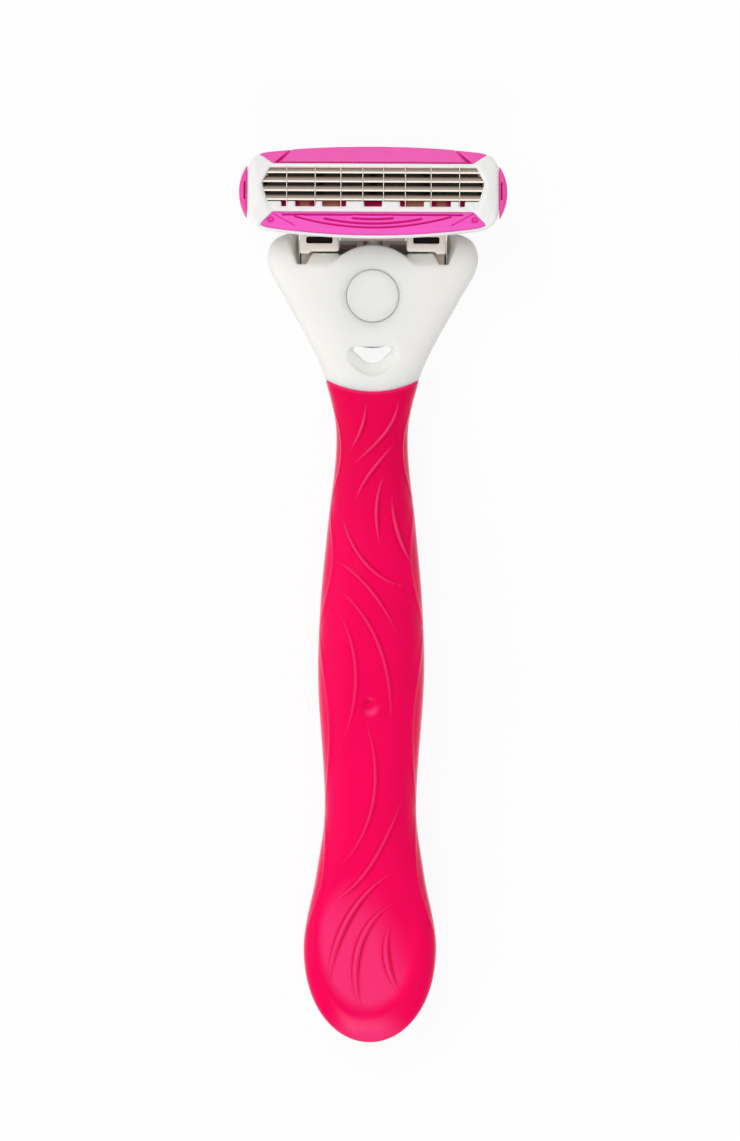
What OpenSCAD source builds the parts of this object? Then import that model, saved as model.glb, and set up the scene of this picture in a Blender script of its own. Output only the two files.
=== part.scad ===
// Cartridge razor lying on its back: +Y runs from the tail to the head, +Z is the shaving side.
// The origin is the centre of the flat back of the neck, on the surface that the razor rests on.

/* [Handle] */
// Distance from the rest point under the neck to the tail of the grip
tail_reach = 115.7; // [108:0.1:122]
// Width of the slim stalk below the neck
stalk_w = 11.3; // [10:0.1:12.5]
// Thickness of the stalk
stalk_t = 10.6; // [9:0.1:12]
// Width of the belly of the grip
belly_w = 16.8; // [14:0.1:19]
// Thickness of the belly
belly_t = 13.6; // [11.5:0.1:15]
// Width of the waist above the thumb rest
waist_w = 14.5; // [12.5:0.1:16.5]
// Thickness of the waist
waist_t = 12.2; // [10.5:0.1:14]
// Width of the thumb rest at the tail
bulb_w = 21.1; // [17:0.1:24]
// Thickness of the thumb rest
bulb_t = 12.4; // [10.5:0.1:14]
// Depth of the hollow in the thumb rest
dish_depth = 1; // [0.4:0.1:1.6]
// Width of the core tang inside the grip
tang_w = 5; // [3:0.1:6.5]
// Thickness of the core tang
tang_t = 4; // [3:0.1:5.5]

/* [Neck] */
// Width across the shoulders
shoulder_w = 33.8; // [32:0.1:36]
// Thickness of the neck
neck_t = 9.5; // [9:0.1:10.5]
// Distance from the rest point to the tips of the ears
ear_reach = 14.2; // [13:0.1:14.5]
// Thickness of the front wall around the button
wall = 1.4; // [1:0.1:1.6]
// Thickness of the back cover
cover_t = 1.6; // [1.2:0.1:2]
// Width of the socket between the ears
socket_w = 23.8; // [23:0.1:25]
// Distance from the rest point to the shelf in front of the socket
shelf_y = 8.6; // [8.2:0.1:9]
// Radius of the dome that rises between the connector blocks
dome_r = 8.2; // [7.8:0.1:8.4]
// Radius of the seam between neck and grip, about the button
seam_r = 15.35; // [15:0.05:16]
// Width of the hanging hole
hole_w = 7.9; // [7:0.1:9]
// Height of the hanging hole
hole_h = 4.3; // [3.6:0.1:4.6]
// Distance from the rest point back to the middle of the hanging hole
hole_back = 6.5; // [6:0.1:6.8]

/* [Button] */
// Distance from the rest point to the middle of the button
button_y = 3.85; // [3.6:0.05:4]
// Diameter of the button
button_d = 8.3; // [7.5:0.1:8.6]
// Travel of the button
button_travel = 1.4; // [1:0.1:1.5]
// Width of the retaining flange around the foot of the button
flange_w = 0.65; // [0.4:0.05:0.8]
// Thickness of the retaining flange
flange_t = 0.7; // [0.5:0.1:0.9]
// Wire thickness of the button spring
button_wire = 0.4; // [0.3:0.05:0.5]
// Height of the latch spring strip
leaf_h = 2; // [1.6:0.1:2.2]
// Thickness of the latch spring strip
leaf_t = 0.3; // [0.2:0.05:0.4]

/* [Connector] */
// Distance from the rest point to the pivot of the cartridge
pivot_y = 15; // [14.8:0.1:15.4]
// Height of the pivot of the cartridge above the rest surface
pivot_z = 7.8; // [7.6:0.1:8]
// Diameter of the pivot pins
pin_d = 1.8; // [1.4:0.1:2]
// Width of each connector block
block_w = 6.3; // [6:0.1:6.5]
// Width of each connector prong
prong_w = 2.7; // [2.2:0.1:3]
// Height of the connector prongs
prong_t = 4; // [3.4:0.1:4.2]
// Distance from the rest point to the ends of the prongs
prong_end = 4.6; // [4.4:0.1:5]
// Diameter of the return plunger
plunger_d = 3; // [2.6:0.1:3.2]
// Travel of the return plunger
plunger_travel = 1.7; // [1.7:0.05:1.8]
// Wire thickness of the plunger spring
plunger_wire = 0.25; // [0.2:0.05:0.3]

/* [Cartridge] */
// Tilt of the shaving face from the handle
face_tilt = 20; // [18:1:22]
// Distance from the pivot up to the shaving face
face_rise = 6.4; // [6.2:0.1:6.8]
// Distance from the pivot to the middle of the shaving face, along it
face_ahead = 3.5; // [3.2:0.1:3.8]
// Width of the frame beside the ends of the blade supports
side_wall = 1.8; // [1.5:0.1:2.4]
// Distance from the middle of the face to the top of the cap
cap_edge = 8.2; // [7.8:0.1:8.4]
// Distance from the middle of the face to the bottom lip
lip_edge = 8.2; // [8:0.1:8.6]
// Corner radius of the frame
frame_corner = 3; // [2:0.1:3.4]
// Depth of the cover frame behind the shaving face
frame_d = 2.4; // [2.2:0.1:2.5]
// Depth of the base behind the cover frame
base_d = 2.4; // [2.2:0.1:2.4]
// How far the sides of the frame stand in front of the blade edges
side_proud = 0.5; // [0.4:0.05:0.6]
// Depth of the seats for the cap and the guard
seat_d = 1.6; // [1.4:0.1:1.7]
// Width of the lip below the guard pad
lip_w = 0.5; // [0.3:0.1:0.7]
// How far each end pad stands out from the side of the frame
end_pad_out = 1.3; // [0.9:0.1:1.5]
// Height of the guard fins
fin_h = 0.35; // [0.2:0.05:0.5]

/* [Blades] */
// Distance between blade edges
blade_pitch = 1.56; // [1.5:0.01:1.58]
// Place of the first blade edge above the middle of the face
first_edge = 3; // [2.9:0.05:3]
// Length of a blade
blade_len = 36; // [34.8:0.1:36.2]
// Width of a blade from edge to spine
blade_w = 1; // [0.9:0.05:1.05]
// Thickness of a blade
blade_t = 0.1; // [0.08:0.01:0.12]
// Angle between a blade and the shaving face
blade_angle = 20; // [18:1:22]
// Thickness of the bent blade supports
support_t = 0.25; // [0.2:0.01:0.28]
// Diameter of the guard wires
wire_d = 0.16; // [0.12:0.01:0.18]

/* [Hidden] */
blade_count = 4;

white = [0.95, 0.94, 0.92];
grip_pink = [0.93, 0.02, 0.31];
trim_pink = [0.95, 0.36, 0.72];
strip_pink = [0.98, 0.38, 0.73];
steel = [0.72, 0.70, 0.68];
taupe = [0.36, 0.30, 0.28];
spring_steel = [0.5, 0.5, 0.52];

// Clearances: sliding pieces, running pins, seated pieces and the overshoot of a cut
slide_gap = 0.3;
side_gap = 0.2;
run_gap = 0.05;
seat_gap = 0.03;
over = 1;
$fn = 64;

// Lofted handle: a row is place along y, half width, underside, front and squareness
ring_sides = 32;
shoulder_y = 9.9;
ear_round = 3.5;
ear_thin = 1.8;
seam_top = -8;
seam_low = -13.4;
stalk_y = -18.4;
belly_y = -57.5;
waist_y = -78.4;
bulb_len = 15.2;
bulb_y = bulb_len - tail_reach;
under_cut = 0.4;
arch_stalk = 0.5;
arch_belly = 2.2;
arch_waist = 1.4;
handle_rows = [
    [shoulder_y, shoulder_w / 2, -under_cut, neck_t, 4.5],
    [3.4, mix(stalk_w, shoulder_w, 0.735) / 2, -under_cut, neck_t, 4.5],
    [-3.5, mix(stalk_w, shoulder_w, 0.395) / 2, -under_cut, neck_t, 4],
    [-9.3, mix(stalk_w, shoulder_w, 0.168) / 2, -0.1, neck_t + 0.5, 3],
    [stalk_y, stalk_w / 2, arch_stalk, arch_stalk + stalk_t, 2.4],
    [mix(stalk_y, belly_y, 0.39), mix(stalk_w, belly_w, 0.5) / 2,
        mix(arch_stalk, arch_belly, 0.5), mix(arch_stalk + stalk_t, arch_belly + belly_t, 0.43), 2.3],
    [mix(stalk_y, belly_y, 0.68), mix(stalk_w, belly_w, 0.87) / 2,
        mix(arch_stalk, arch_belly, 0.85), mix(arch_stalk + stalk_t, arch_belly + belly_t, 0.82), 2.3],
    [belly_y, belly_w / 2, arch_belly, arch_belly + belly_t, 2.3],
    [waist_y, waist_w / 2, arch_waist, arch_waist + waist_t, 2.3],
    [mix(waist_y, bulb_y, 0.48), mix(waist_w, bulb_w, 0.41) / 2,
        arch_waist / 3, mix(arch_waist + waist_t, bulb_t, 0.7), 2.35],
    [bulb_y, bulb_w / 2, 0, bulb_t, 2.4],
];
dish_y = bulb_y - 2;
dish_half_l = 12;
dish_half_w = bulb_w * 0.43;
tail_tip = 0.985;

// Levels inside the neck, from the rest surface up
ceiling = neck_t - wall;
conn_low = cover_t + slide_gap;
prong_top = conn_low + prong_t;
roof = prong_top + slide_gap;
ramp_end = roof + 1.2;
button_foot = ceiling - run_gap - flange_t;
leaf_top = cover_t + leaf_h;
spring_r = 1.9;
leg_in = 2.2;
leg_out = 3.7;
leg_half = 1.2;
leg_foot = leaf_top + side_gap;
post_r = 0.9;
post_len = 2.2;
peg_r = 0.4;
leaf_arm = leg_in + 0.4;
leaf_back = button_y - spring_r - 1.45;
leaf_knee = button_y + leg_half + 0.6;
tip_reach = 0.9;
tip_depth = 0.3;

// Places inside the neck, seen from the front
cavity_end = -1.8;
cavity_end_w = 11.2;
cavity_knee = prong_end - 0.4;
cover_end = shoulder_y + 3.2;
tang_z = 6.2;
tang_top = -hole_back - hole_h / 2 - 0.8;
tang_cover = 9;
tang_end = tang_cover - tail_reach;
hole_r = 1.3;
hole_inset = 0.75;
funnel_top = neck_t + 0.3;
funnel_end = neck_t - 1.6;
ear_chamfer = 2.2;

// Connector
block_out = socket_w / 2 - side_gap;
block_in = block_out - block_w;
block_foot = ramp_y() - 0.2;
block_step = 0.5;
foot_step = 9.85;
slit_y = shelf_y + slide_gap;
slit_w = 1.25;
slit_lean = 0.53;
boss_r = 1.3;
window_w = 4.2;
window_h = 1.1;
window_d = 2;
window_y = 12.8;
prong_out = block_out - side_gap;
prong_in = prong_out - prong_w;
notch_y = 6.4;
notch_half = 0.6;
notch_d = 0.6;
lug_t = 1.6;
lug_r = pin_d / 2 + 1;
lug_out = block_in - side_gap;
guide_w = 5.2;
guide_back = button_y + button_d / 2 + flange_w + slide_gap;
guide_front = 13.2;
guide_top = ceiling - slide_gap;
plunger_z = pivot_z - 2.2;
plunger_tip = 13.5;
bore_end = guide_back + 0.6;
plunger_back = bore_end + plunger_travel + 0.1;
cup_wall = 0.5;
bridge_front = 12.4;
bridge_t = 1.6;
slot_y = 11.5;
cam_w = 2.2;
cam_gap = 0.1;
cam_low = 2.9;
cam_back = 1.7;
cam_root = 1.6;

// Cartridge, in the frame of the shaving face
support_len = blade_len + 0.4;
blade_room = support_len / 2 + 0.1;
cart_w = 2 * (blade_room + side_wall);
base_back = -frame_d - base_d;
cap_half = cart_w / 2 - side_wall;
cap_foot = 4.68;
cap_foot_half = cap_half - 2.3;
cap_sag = 1.36;
guard_head = 3.66;
guard_sag = 1.53;
guard_tip = 6.15;
window_top = 4.05;
window_low = 1.9;
window_side_r = 5.05;
window_half = cap_half - 0.55;
window_mid = 0.85;
bar_front = 0.2;
bar_half = cap_foot_half + 0.6;
rinse_top = 2;
rinse_low = 2.8;
rinse_slots = [for (r = [[0, 0.079], [0.172, 0.105], [0.299, 0.09], [0.394, 0.025]]) r * blade_len];
wire_places = [for (share = [0.046, 0.143, 0.257, 0.383]) share * blade_len];
wire_level = wire_d / 2 + 0.02;
wire_top = 4.35;
wire_low = 3.2;
leg_bottom = -frame_d - 1;
bevel = 0.28;
platform_start = 0.42;
base_half = cart_w / 2 - 0.7;
base_top = 6.2;
base_foot = 5;
web_half = lug_out;
web_foot = 6.6;
rinse_half = blade_len / 2 - 1;
rib_t = 1;
rib_places = [-0.236 * blade_len, 0, 0.236 * blade_len];
strip_trench = 1;
strip_proud = 0.25;
pad_half_v = 4.45;
pad_mid = 0.15;
pad_depth = 2;
tongue_half = 1.8;
tongue_t = 0.8;
fin_t = 0.3;
cap_rise = 1.76;
side_crown_r = 96;
face_crown_r = 40;
cap_crown_r = 14;
cap_crown_v = 2.5;
carrier_drop = 0.1;
guard_crown_r = 10;
guard_crown_v = -4.6;
guard_proud = 0.05;
lip_level = -0.35;
fin_pitch = 0.6;
fin_start = 1.45;
fin_spans = [for (share = [0.2, 0.475, 0.77]) share * cap_foot_half];
fin_sags = [0.48, 1.02, 1.8];

function mix(a, b, share) = a + (b - a) * share;
function ramp_y() = shelf_y + neck_t - ramp_end;
function arc_radius(half_chord, sag) = (half_chord * half_chord + sag * sag) / (2 * sag);

// Smooth curve through one column of the rows, at a place along y
function slope(i, c) = i == 0 || i == len(handle_rows) - 1 ? 0 :
    (handle_rows[i + 1][c] - handle_rows[i - 1][c]) / (handle_rows[i + 1][0] - handle_rows[i - 1][0]);
function row_at(y, i = 0) = i >= len(handle_rows) - 2 || handle_rows[i + 1][0] <= y ? i : row_at(y, i + 1);
function smooth(y, c) = let (i = row_at(y), a = handle_rows[i], b = handle_rows[i + 1],
    d = b[0] - a[0], t = (y - a[0]) / d)
    (2 * t ^ 3 - 3 * t ^ 2 + 1) * a[c] + (t ^ 3 - 2 * t ^ 2 + t) * d * slope(i, c)
    + (3 * t ^ 2 - 2 * t ^ 3) * b[c] + (t ^ 3 - t ^ 2) * d * slope(i + 1, c);

// Roundness of the two ends: 1 in the middle of the handle, falling to 0 at an end
function ear_fall(y) = y <= shoulder_y ? 0
    : 1 - sqrt(max(0, 1 - ((y - shoulder_y) / (ear_reach - shoulder_y)) ^ 2));
function tail_round(y) = y >= bulb_y ? 1
    : sqrt(max(0, 1 - ((bulb_y - y) / (bulb_y + tail_reach)) ^ 2.15));
function clamp_y(y) = min(shoulder_y, max(bulb_y, y));
function half_width(y) = (smooth(clamp_y(y), 1) - ear_round * ear_fall(y)) * tail_round(y);
function underside(y) = let (low = smooth(clamp_y(y), 2), high = smooth(clamp_y(y), 3))
    mix((low + high) / 2, y < seam_low ? max(0, low) : low, tail_round(y)) + ear_thin * ear_fall(y);
function front(y) = let (low = smooth(clamp_y(y), 2), high = smooth(clamp_y(y), 3))
    mix((low + high) / 2, high, tail_round(y)) - ear_thin * ear_fall(y);
function dish(x, y) = dish_depth
    * max(0, 1 - (x / dish_half_w) ^ 2 - ((y - dish_y) / dish_half_l) ^ 2) ^ 1.5;
function side_power(c, n) = sign(c) * abs(c) ^ (2 / n);
function ring(y) = let (w = half_width(y), low = underside(y), high = front(y), n = smooth(clamp_y(y), 4))
    [for (k = [0:ring_sides - 1]) let (a = 360 * k / ring_sides, x = w * side_power(cos(a), n))
        [x, y, (low + high) / 2 + (high - low) / 2 * side_power(sin(a), n)
            - (sin(a) > 0 ? dish(x, y) : 0)]];

function steps(from, to, count) = [for (k = [0:count - 1]) mix(from, to, k / count)];
seam_steps = steps(seam_top, seam_low, 4);
neck_steps = concat([for (k = [4:-1:1]) mix(shoulder_y, ear_reach, sin(22.5 * k))],
    steps(shoulder_y, seam_top, 7), seam_steps, [seam_low]);
grip_steps = concat(seam_steps, steps(seam_low, bulb_y, 26),
    [for (k = [0:6]) mix(bulb_y, -tail_reach, tail_tip * sin(15 * k))]);

// A closed solid through rings of points
module skin(rings) {
    n = len(rings[0]);
    last = len(rings) - 1;
    polyhedron(
        points = [for (r = rings, p = r) p],
        faces = concat(
            [[for (k = [0:n - 1]) k]],
            [for (i = [0:last - 1], k = [0:n - 1]) let (j = (k + 1) % n)
                each [[i * n + k, (i + 1) * n + k, (i + 1) * n + j],
                    [i * n + k, (i + 1) * n + j, i * n + j]]],
            [[for (k = [n - 1:-1:0]) last * n + k]]));
}

// A round wire wound along +Z from the origin
module coil(radius, wire, length, turns) {
    sides = 8;
    per_turn = 14;
    count = turns * per_turn;
    skin([for (i = [0:count]) let (a = 360 * i / per_turn, z = mix(wire / 2, length - wire / 2, i / count))
        [for (k = [0:sides - 1]) let (b = -360 * k / sides, r = radius + wire / 2 * cos(b))
            [r * cos(a), r * sin(a), z + wire / 2 * sin(b)]]]);
}

// A straight strip between two points, with round ends
module strip(p, q, t) {
    d = q - p;
    translate(p) rotate(atan2(d[1], d[0])) translate([0, -t / 2]) square([norm(d), t]);
    for (e = [p, q]) translate(e) circle(d = t);
}

module strips(path, t) {
    for (i = [0:len(path) - 2]) strip(path[i], path[i + 1], t);
}

module rounded_polygon(centres, r) {
    polygon(centres);
    strips(concat(centres, [centres[0]]), 2 * r);
}

module rounded_box(half_w, low, high, r) {
    x = half_w - r;
    rounded_polygon([[-x, low + r], [x, low + r], [x, high - r], [-x, high - r]], r);
}

// Extrudes an outline drawn in Y and Z along X, between two places
module across(from, to) {
    translate([from, 0, 0]) rotate([90, 0, 90]) linear_extrude(to - from) children();
}

module between(low, high) {
    translate([0, 0, low]) linear_extrude(high - low) children();
}

module both_sides() {
    children();
    mirror([1, 0, 0]) children();
}

module button_axis(low, high, r) {
    translate([0, button_y, low]) cylinder(h = high - low, r = r);
}

// Frame of the shaving face: X across, Y towards the cap, Z out of the face
module at_face() {
    translate([0, pivot_y, pivot_z]) rotate([-face_tilt, 0, 0])
        translate([0, face_ahead, face_rise]) children();
}

module at_edge(k) {
    at_face() translate([0, first_edge - (k - 1) * blade_pitch, 0]) children();
}

// Handle
module cavity_outline(gap, end) {
    wide = socket_w / 2 - gap;
    narrow = cavity_end_w / 2 - gap;
    low = cavity_end + gap;
    polygon([[-wide, end], [-wide, cavity_knee], [-narrow, low],
        [narrow, low], [wide, cavity_knee], [wide, end]]);
}

module dome_outline() {
    translate([0, button_y]) circle(r = dome_r);
}

module socket_mouth(from) {
    difference() {
        translate([-socket_w / 2, from]) square([socket_w, ear_reach + over - from]);
        dome_outline();
    }
}

module ear_slit() {
    wall = socket_w / 2;
    end = ramp_y() + over;
    polygon([[wall - slit_w, slit_y], [wall - slit_w - slit_lean * (end - slit_y), end],
        [wall, end], [wall, slit_y]]);
}

// Points of a rounded outline: an arc about each centre, turning from one side's normal to the next
function corner_arc(centres, i, r, count) = let (n = len(centres),
    a = centres[(i + n - 1) % n], b = centres[i], c = centres[(i + 1) % n],
    start = atan2(b[1] - a[1], b[0] - a[0]) - 90,
    end = atan2(c[1] - b[1], c[0] - b[0]) - 90,
    turn = (end - start + 720) % 360)
    [for (k = [0:count]) b + r * [cos(start + turn * k / count), sin(start + turn * k / count)]];

// One level of the hanging hole, drawn in from its slanted sides
function hole_ring(z, inset) = let (x = hole_w / 2 - hole_r, y = hole_h / 2 - hole_r,
    centres = [[-x, inset + y], [0, inset - y], [x, inset + y]])
    [for (i = [0:2], p = corner_arc(centres, i, hole_r - inset, 8)) [p[0], p[1] - hole_back, z]];

// A funnel at the front, then straight through
module hang_hole() {
    skin([hole_ring(-over, hole_inset), hole_ring(funnel_end, hole_inset),
        hole_ring(funnel_top, 0), hole_ring(neck_t + 2 * over, 0)]);
}

module tang() {
    translate([0, tang_top, tang_z]) rotate([90, 0, 0]) linear_extrude(tang_top - tang_end)
        rounded_box(tang_w / 2, -tang_t / 2, tang_t / 2, 1);
}

module past_seam() {
    difference() {
        translate([-shoulder_w, seam_low - over, -over])
            cube([2 * shoulder_w, seam_top - seam_low + over, 2 * neck_t]);
        button_axis(-2 * over, 3 * neck_t, seam_r);
    }
}

module neck_shell() {
    color(white) {
        difference() {
            skin([for (y = neck_steps) ring(y)]);
            past_seam();
            translate([-shoulder_w, seam_low - over, -2 * over])
                cube([2 * shoulder_w, ear_reach - seam_low + 2 * over, 2 * over]);
            // Pocket for the mechanism, higher under the button than over the prongs
            between(-over, roof) cavity_outline(0, ear_reach + over);
            between(-over, ceiling) intersection() {
                cavity_outline(0, ear_reach + over);
                translate([-block_in, cavity_end]) square([2 * block_in, ear_reach - cavity_end + over]);
            }
            button_axis(cover_t, neck_t + over, button_d / 2 + run_gap);
            // Mouth of the socket, with a ramp down from the shelf
            between(cover_t, neck_t + over) socket_mouth(ramp_y());
            difference() {
                across(-socket_w / 2, socket_w / 2)
                    polygon([[shelf_y, neck_t], [ramp_y(), ramp_end], [ramp_y() + over, ramp_end],
                        [ramp_y() + over, neck_t + over], [shelf_y, neck_t + over]]);
                button_axis(0, neck_t + 2 * over, dome_r);
            }
            // Slits beside the ramp, where the feet of the connector reach in
            both_sides() between(roof - 0.5, neck_t + over) ear_slit();
            // Slanted inner edges of the ears
            ear_in = socket_w / 2;
            ear_end = ear_reach + over;
            both_sides() between(ramp_end, neck_t + over) polygon([[ear_in - over, shelf_y],
                [ear_in, shelf_y], [ear_in + ear_chamfer, ear_end], [ear_in - over, ear_end]]);
            hang_hole();
        }
        tang();
    }
}

module back_cover() {
    color(white) {
        between(0, cover_t) cavity_outline(run_gap, cover_end);
        // Boss inside the button spring
        button_axis(cover_t, cover_t + 0.8, spring_r - button_wire - 0.2);
        // Posts on both sides of the latch spring's base
        for (x = [-1.2, 1.2], side = [-1, 1])
            translate([x, leaf_path()[0][1] + side * (leaf_t / 2 + run_gap + peg_r), cover_t])
                cylinder(h = leaf_h, r = peg_r);
    }
}

module grip_sleeve() {
    color(grip_pink) difference() {
        skin([for (y = grip_steps) ring(y)]);
        button_axis(-over, 3 * neck_t, seam_r);
        tang();
    }
}

module release_button() {
    color(white) {
        button_axis(button_foot, neck_t, button_d / 2);
        button_axis(button_foot, button_foot + flange_t, button_d / 2 + flange_w);
        button_axis(button_foot - post_len, button_foot, post_r);
        // Legs whose ramps squeeze the latch spring when the button goes down
        both_sides() translate([0, button_y + leg_half, 0]) rotate([90, 0, 0]) linear_extrude(2 * leg_half)
            polygon([[leg_out, button_foot], [leg_out, leg_foot], [leg_out - 0.6, leg_foot],
                [leg_in, leg_foot + 1.4], [leg_in, button_foot]]);
    }
}

module button_spring() {
    color(spring_steel) translate([0, button_y, cover_t])
        coil(spring_r - button_wire / 2, button_wire, button_foot - cover_t, 5);
}

// Half of the latch spring: base, arm beside the button, and the tip that rests in the prong's notch
function leaf_path() = [[0, leaf_back], [leaf_arm, leaf_back], [leaf_arm, leaf_knee],
    [prong_in - 2 * tip_depth, notch_y + tip_reach], [prong_in + tip_depth, notch_y]];

module latch_spring() {
    color(spring_steel) between(cover_t, leaf_top) both_sides() strips(leaf_path(), leaf_t);
}

// Connector
module block_side() {
    polygon([[block_in, block_foot + block_step], [foot_step, block_foot + block_step],
        [foot_step + block_step, block_foot], [block_out, block_foot], [block_out, pivot_y],
        [block_in, pivot_y]]);
}

module prong_side() {
    difference() {
        translate([prong_in, prong_end]) square([prong_w, block_foot + over - prong_end]);
        translate([prong_in - over, notch_y - notch_half]) square([over + notch_d, 2 * notch_half]);
    }
}

module connector() {
    color(white) difference() {
        union() {
            both_sides() {
                between(conn_low, pivot_z + boss_r) block_side();
                between(conn_low, prong_top) prong_side();
                translate([block_in, pivot_y, pivot_z]) rotate([0, 90, 0])
                    cylinder(h = block_w, r = boss_r);
                translate([lug_out - lug_t + 0.1, pivot_y, pivot_z]) rotate([0, 90, 0])
                    cylinder(h = block_in - lug_out + lug_t, d = pin_d);
            }
            // Bridge between the blocks, and the guide of the plunger on it
            translate([-block_in - over, block_foot + block_step, conn_low])
                cube([2 * (block_in + over), bridge_front - block_foot - block_step, bridge_t]);
            translate([-guide_w / 2, guide_back, conn_low])
                cube([guide_w, guide_front - guide_back, guide_top - conn_low]);
        }
        // Windows in the blocks
        window_x = block_in + (block_w - window_w) / 2;
        both_sides() translate([window_x, window_y - window_h / 2, pivot_z + boss_r - window_d])
            cube([window_w, window_h, window_d + over]);
        plunger_bore();
        // Slot above the plunger, where the cam swings
        translate([-cam_w / 2 - side_gap, slot_y, plunger_z])
            cube([cam_w + 2 * side_gap, guide_front, neck_t]);
    }
}

module plunger_bore() {
    translate([0, guide_front + over, plunger_z]) rotate([90, 0, 0])
        cylinder(h = guide_front + over - bore_end, r = plunger_d / 2 + run_gap);
}

module return_plunger() {
    color(white) translate([0, plunger_tip, plunger_z]) rotate([90, 0, 0]) difference() {
        cylinder(h = plunger_tip - plunger_back, d = plunger_d);
        translate([0, 0, cup_wall]) cylinder(h = plunger_tip - plunger_back, d = plunger_d - 2 * cup_wall);
    }
}

module plunger_spring() {
    room = plunger_d / 2 - cup_wall - run_gap;
    color(spring_steel) translate([0, plunger_tip - cup_wall, plunger_z]) rotate([90, 0, 0])
        coil(room - plunger_wire / 2, plunger_wire, plunger_tip - cup_wall - bore_end, 6);
}

// Cartridge
module face_outline(lip = 0) {
    top_r = arc_radius(cap_half, cap_sag);
    low_r = arc_radius(cap_half, guard_sag);
    intersection() {
        union() {
            rounded_box(cart_w / 2, -lip_edge + guard_sag, cap_edge - cap_sag, frame_corner);
            translate([-cap_half, -lip_edge]) square([2 * cap_half, lip_edge + cap_edge]);
        }
        translate([0, cap_edge - top_r]) circle(r = top_r, $fn = 180);
        translate([0, low_r - lip_edge + lip]) circle(r = low_r, $fn = 180);
    }
}

// Rounded blocks that the fronts of the frame, cap and guard are cut to
module side_crown() {
    top = side_proud + cap_half * cap_half / (2 * side_crown_r);
    translate([0, 2 * cart_w, top - side_crown_r]) rotate([90, 0, 0])
        cylinder(h = 4 * cart_w, r = side_crown_r, $fn = 180);
}

module long_crown(v, top, r) {
    translate([-cart_w, v, top - r]) rotate([0, 90, 0])
        cylinder(h = 2 * cart_w, r = r, $fn = 180);
}

module cap_area(gap) {
    polygon([[-cap_foot_half + gap, cap_foot + gap], [cap_foot_half - gap, cap_foot + gap],
        [cap_half - gap, cap_foot + cap_rise], [cap_half - gap, cap_edge + over],
        [-cap_half + gap, cap_edge + over], [-cap_half + gap, cap_foot + cap_rise]]);
}

module strip_area(gap) {
    half = cap_foot_half - 0.2 - gap;
    slant = 4.4;
    polygon([[-half, cap_foot + 0.2 + gap], [half, cap_foot + 0.2 + gap],
        [half - slant, cap_edge + over], [-half + slant, cap_edge + over]]);
}

module guard_area(gap) {
    polygon([[-cap_foot_half + gap, -guard_head - gap], [cap_foot_half - gap, -guard_head - gap],
        [cap_half - gap, -guard_tip], [cap_half - gap, -lip_edge - over],
        [-cap_half + gap, -lip_edge - over], [-cap_half + gap, -guard_tip]]);
}

module blade_window() {
    intersection() {
        translate([-cart_w / 2, -window_low]) square([cart_w, window_low + window_top]);
        union() {
            side = window_half - window_side_r;
            translate([-side, -lip_edge]) square([2 * side, 2 * lip_edge]);
            for (x = [-side, side]) translate([x, window_mid]) circle(r = window_side_r);
        }
    }
}

module rinse_windows() {
    for (s = rinse_slots, side = [-1, 1])
        translate([side * s[0] - s[1] / 2, -rinse_low]) square([s[1], rinse_low - rinse_top]);
}

module wires(gap) {
    for (place = wire_places, side = [-1, 1])
        translate([side * place, wire_top, wire_level]) rotate([90, 0, 0])
            cylinder(h = wire_top + wire_low, d = wire_d + 2 * gap, $fn = 16);
}

module pad_outline() {
    r = arc_radius(pad_half_v, end_pad_out);
    intersection() {
        translate([cart_w / 2 + end_pad_out - r, pad_mid]) circle(r = r);
        translate([cart_w / 2, -lip_edge]) square([end_pad_out + over, 2 * lip_edge]);
    }
}

module pad_tongue(gap) {
    low = -pad_depth / 2 - tongue_t / 2 - gap;
    translate([cart_w / 2 - tongue_t - gap, pad_mid - tongue_half - gap, low])
        cube([tongue_t + gap + run_gap, 2 * (tongue_half + gap), tongue_t + 2 * gap]);
}

module cover_frame() {
    color(white) at_face() difference() {
        intersection() {
            between(-frame_d, side_proud) face_outline();
            side_crown();
            long_crown(0, side_proud, face_crown_r);
        }
        between(-frame_d - over, side_proud + over) blade_window();
        between(-frame_d - over, run_gap) translate([-blade_room, -window_low])
            square([2 * blade_room, window_low + window_top]);
        between(bar_front, side_proud + over) translate([-bar_half, -guard_head - seat_gap])
            square([2 * bar_half, guard_head + cap_foot + 2 * seat_gap]);
        between(-seat_d, side_proud + over) cap_area(0);
        between(-seat_d, side_proud + over) intersection() {
            guard_area(0);
            face_outline(lip_w);
        }
        between(lip_level, side_proud + over) guard_area(0);
        between(-frame_d - over, side_proud + over) rinse_windows();
        wires(0.01);
        both_sides() pad_tongue(seat_gap);
    }
}

module cap_carrier() {
    color(trim_pink) at_face() difference() {
        intersection() {
            between(-seat_d, strip_proud) intersection() {
                cap_area(seat_gap);
                face_outline();
            }
            long_crown(cap_crown_v, strip_proud - carrier_drop, cap_crown_r);
        }
        between(-strip_trench, over) strip_area(0);
    }
}

module lubricating_strip() {
    color(strip_pink) at_face() intersection() {
        between(-strip_trench, strip_proud) intersection() {
            strip_area(seat_gap);
            face_outline();
        }
        long_crown(cap_crown_v, strip_proud, cap_crown_r);
    }
}

module guard_fin(k) {
    half_chord = fin_spans[k];
    r = arc_radius(half_chord, fin_sags[k]);
    intersection() {
        translate([0, r - guard_head - fin_start - k * fin_pitch]) difference() {
            circle(r = r + fin_t / 2, $fn = 180);
            circle(r = r - fin_t / 2, $fn = 180);
        }
        translate([-half_chord, -lip_edge]) square([2 * half_chord, lip_edge]);
    }
}

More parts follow.
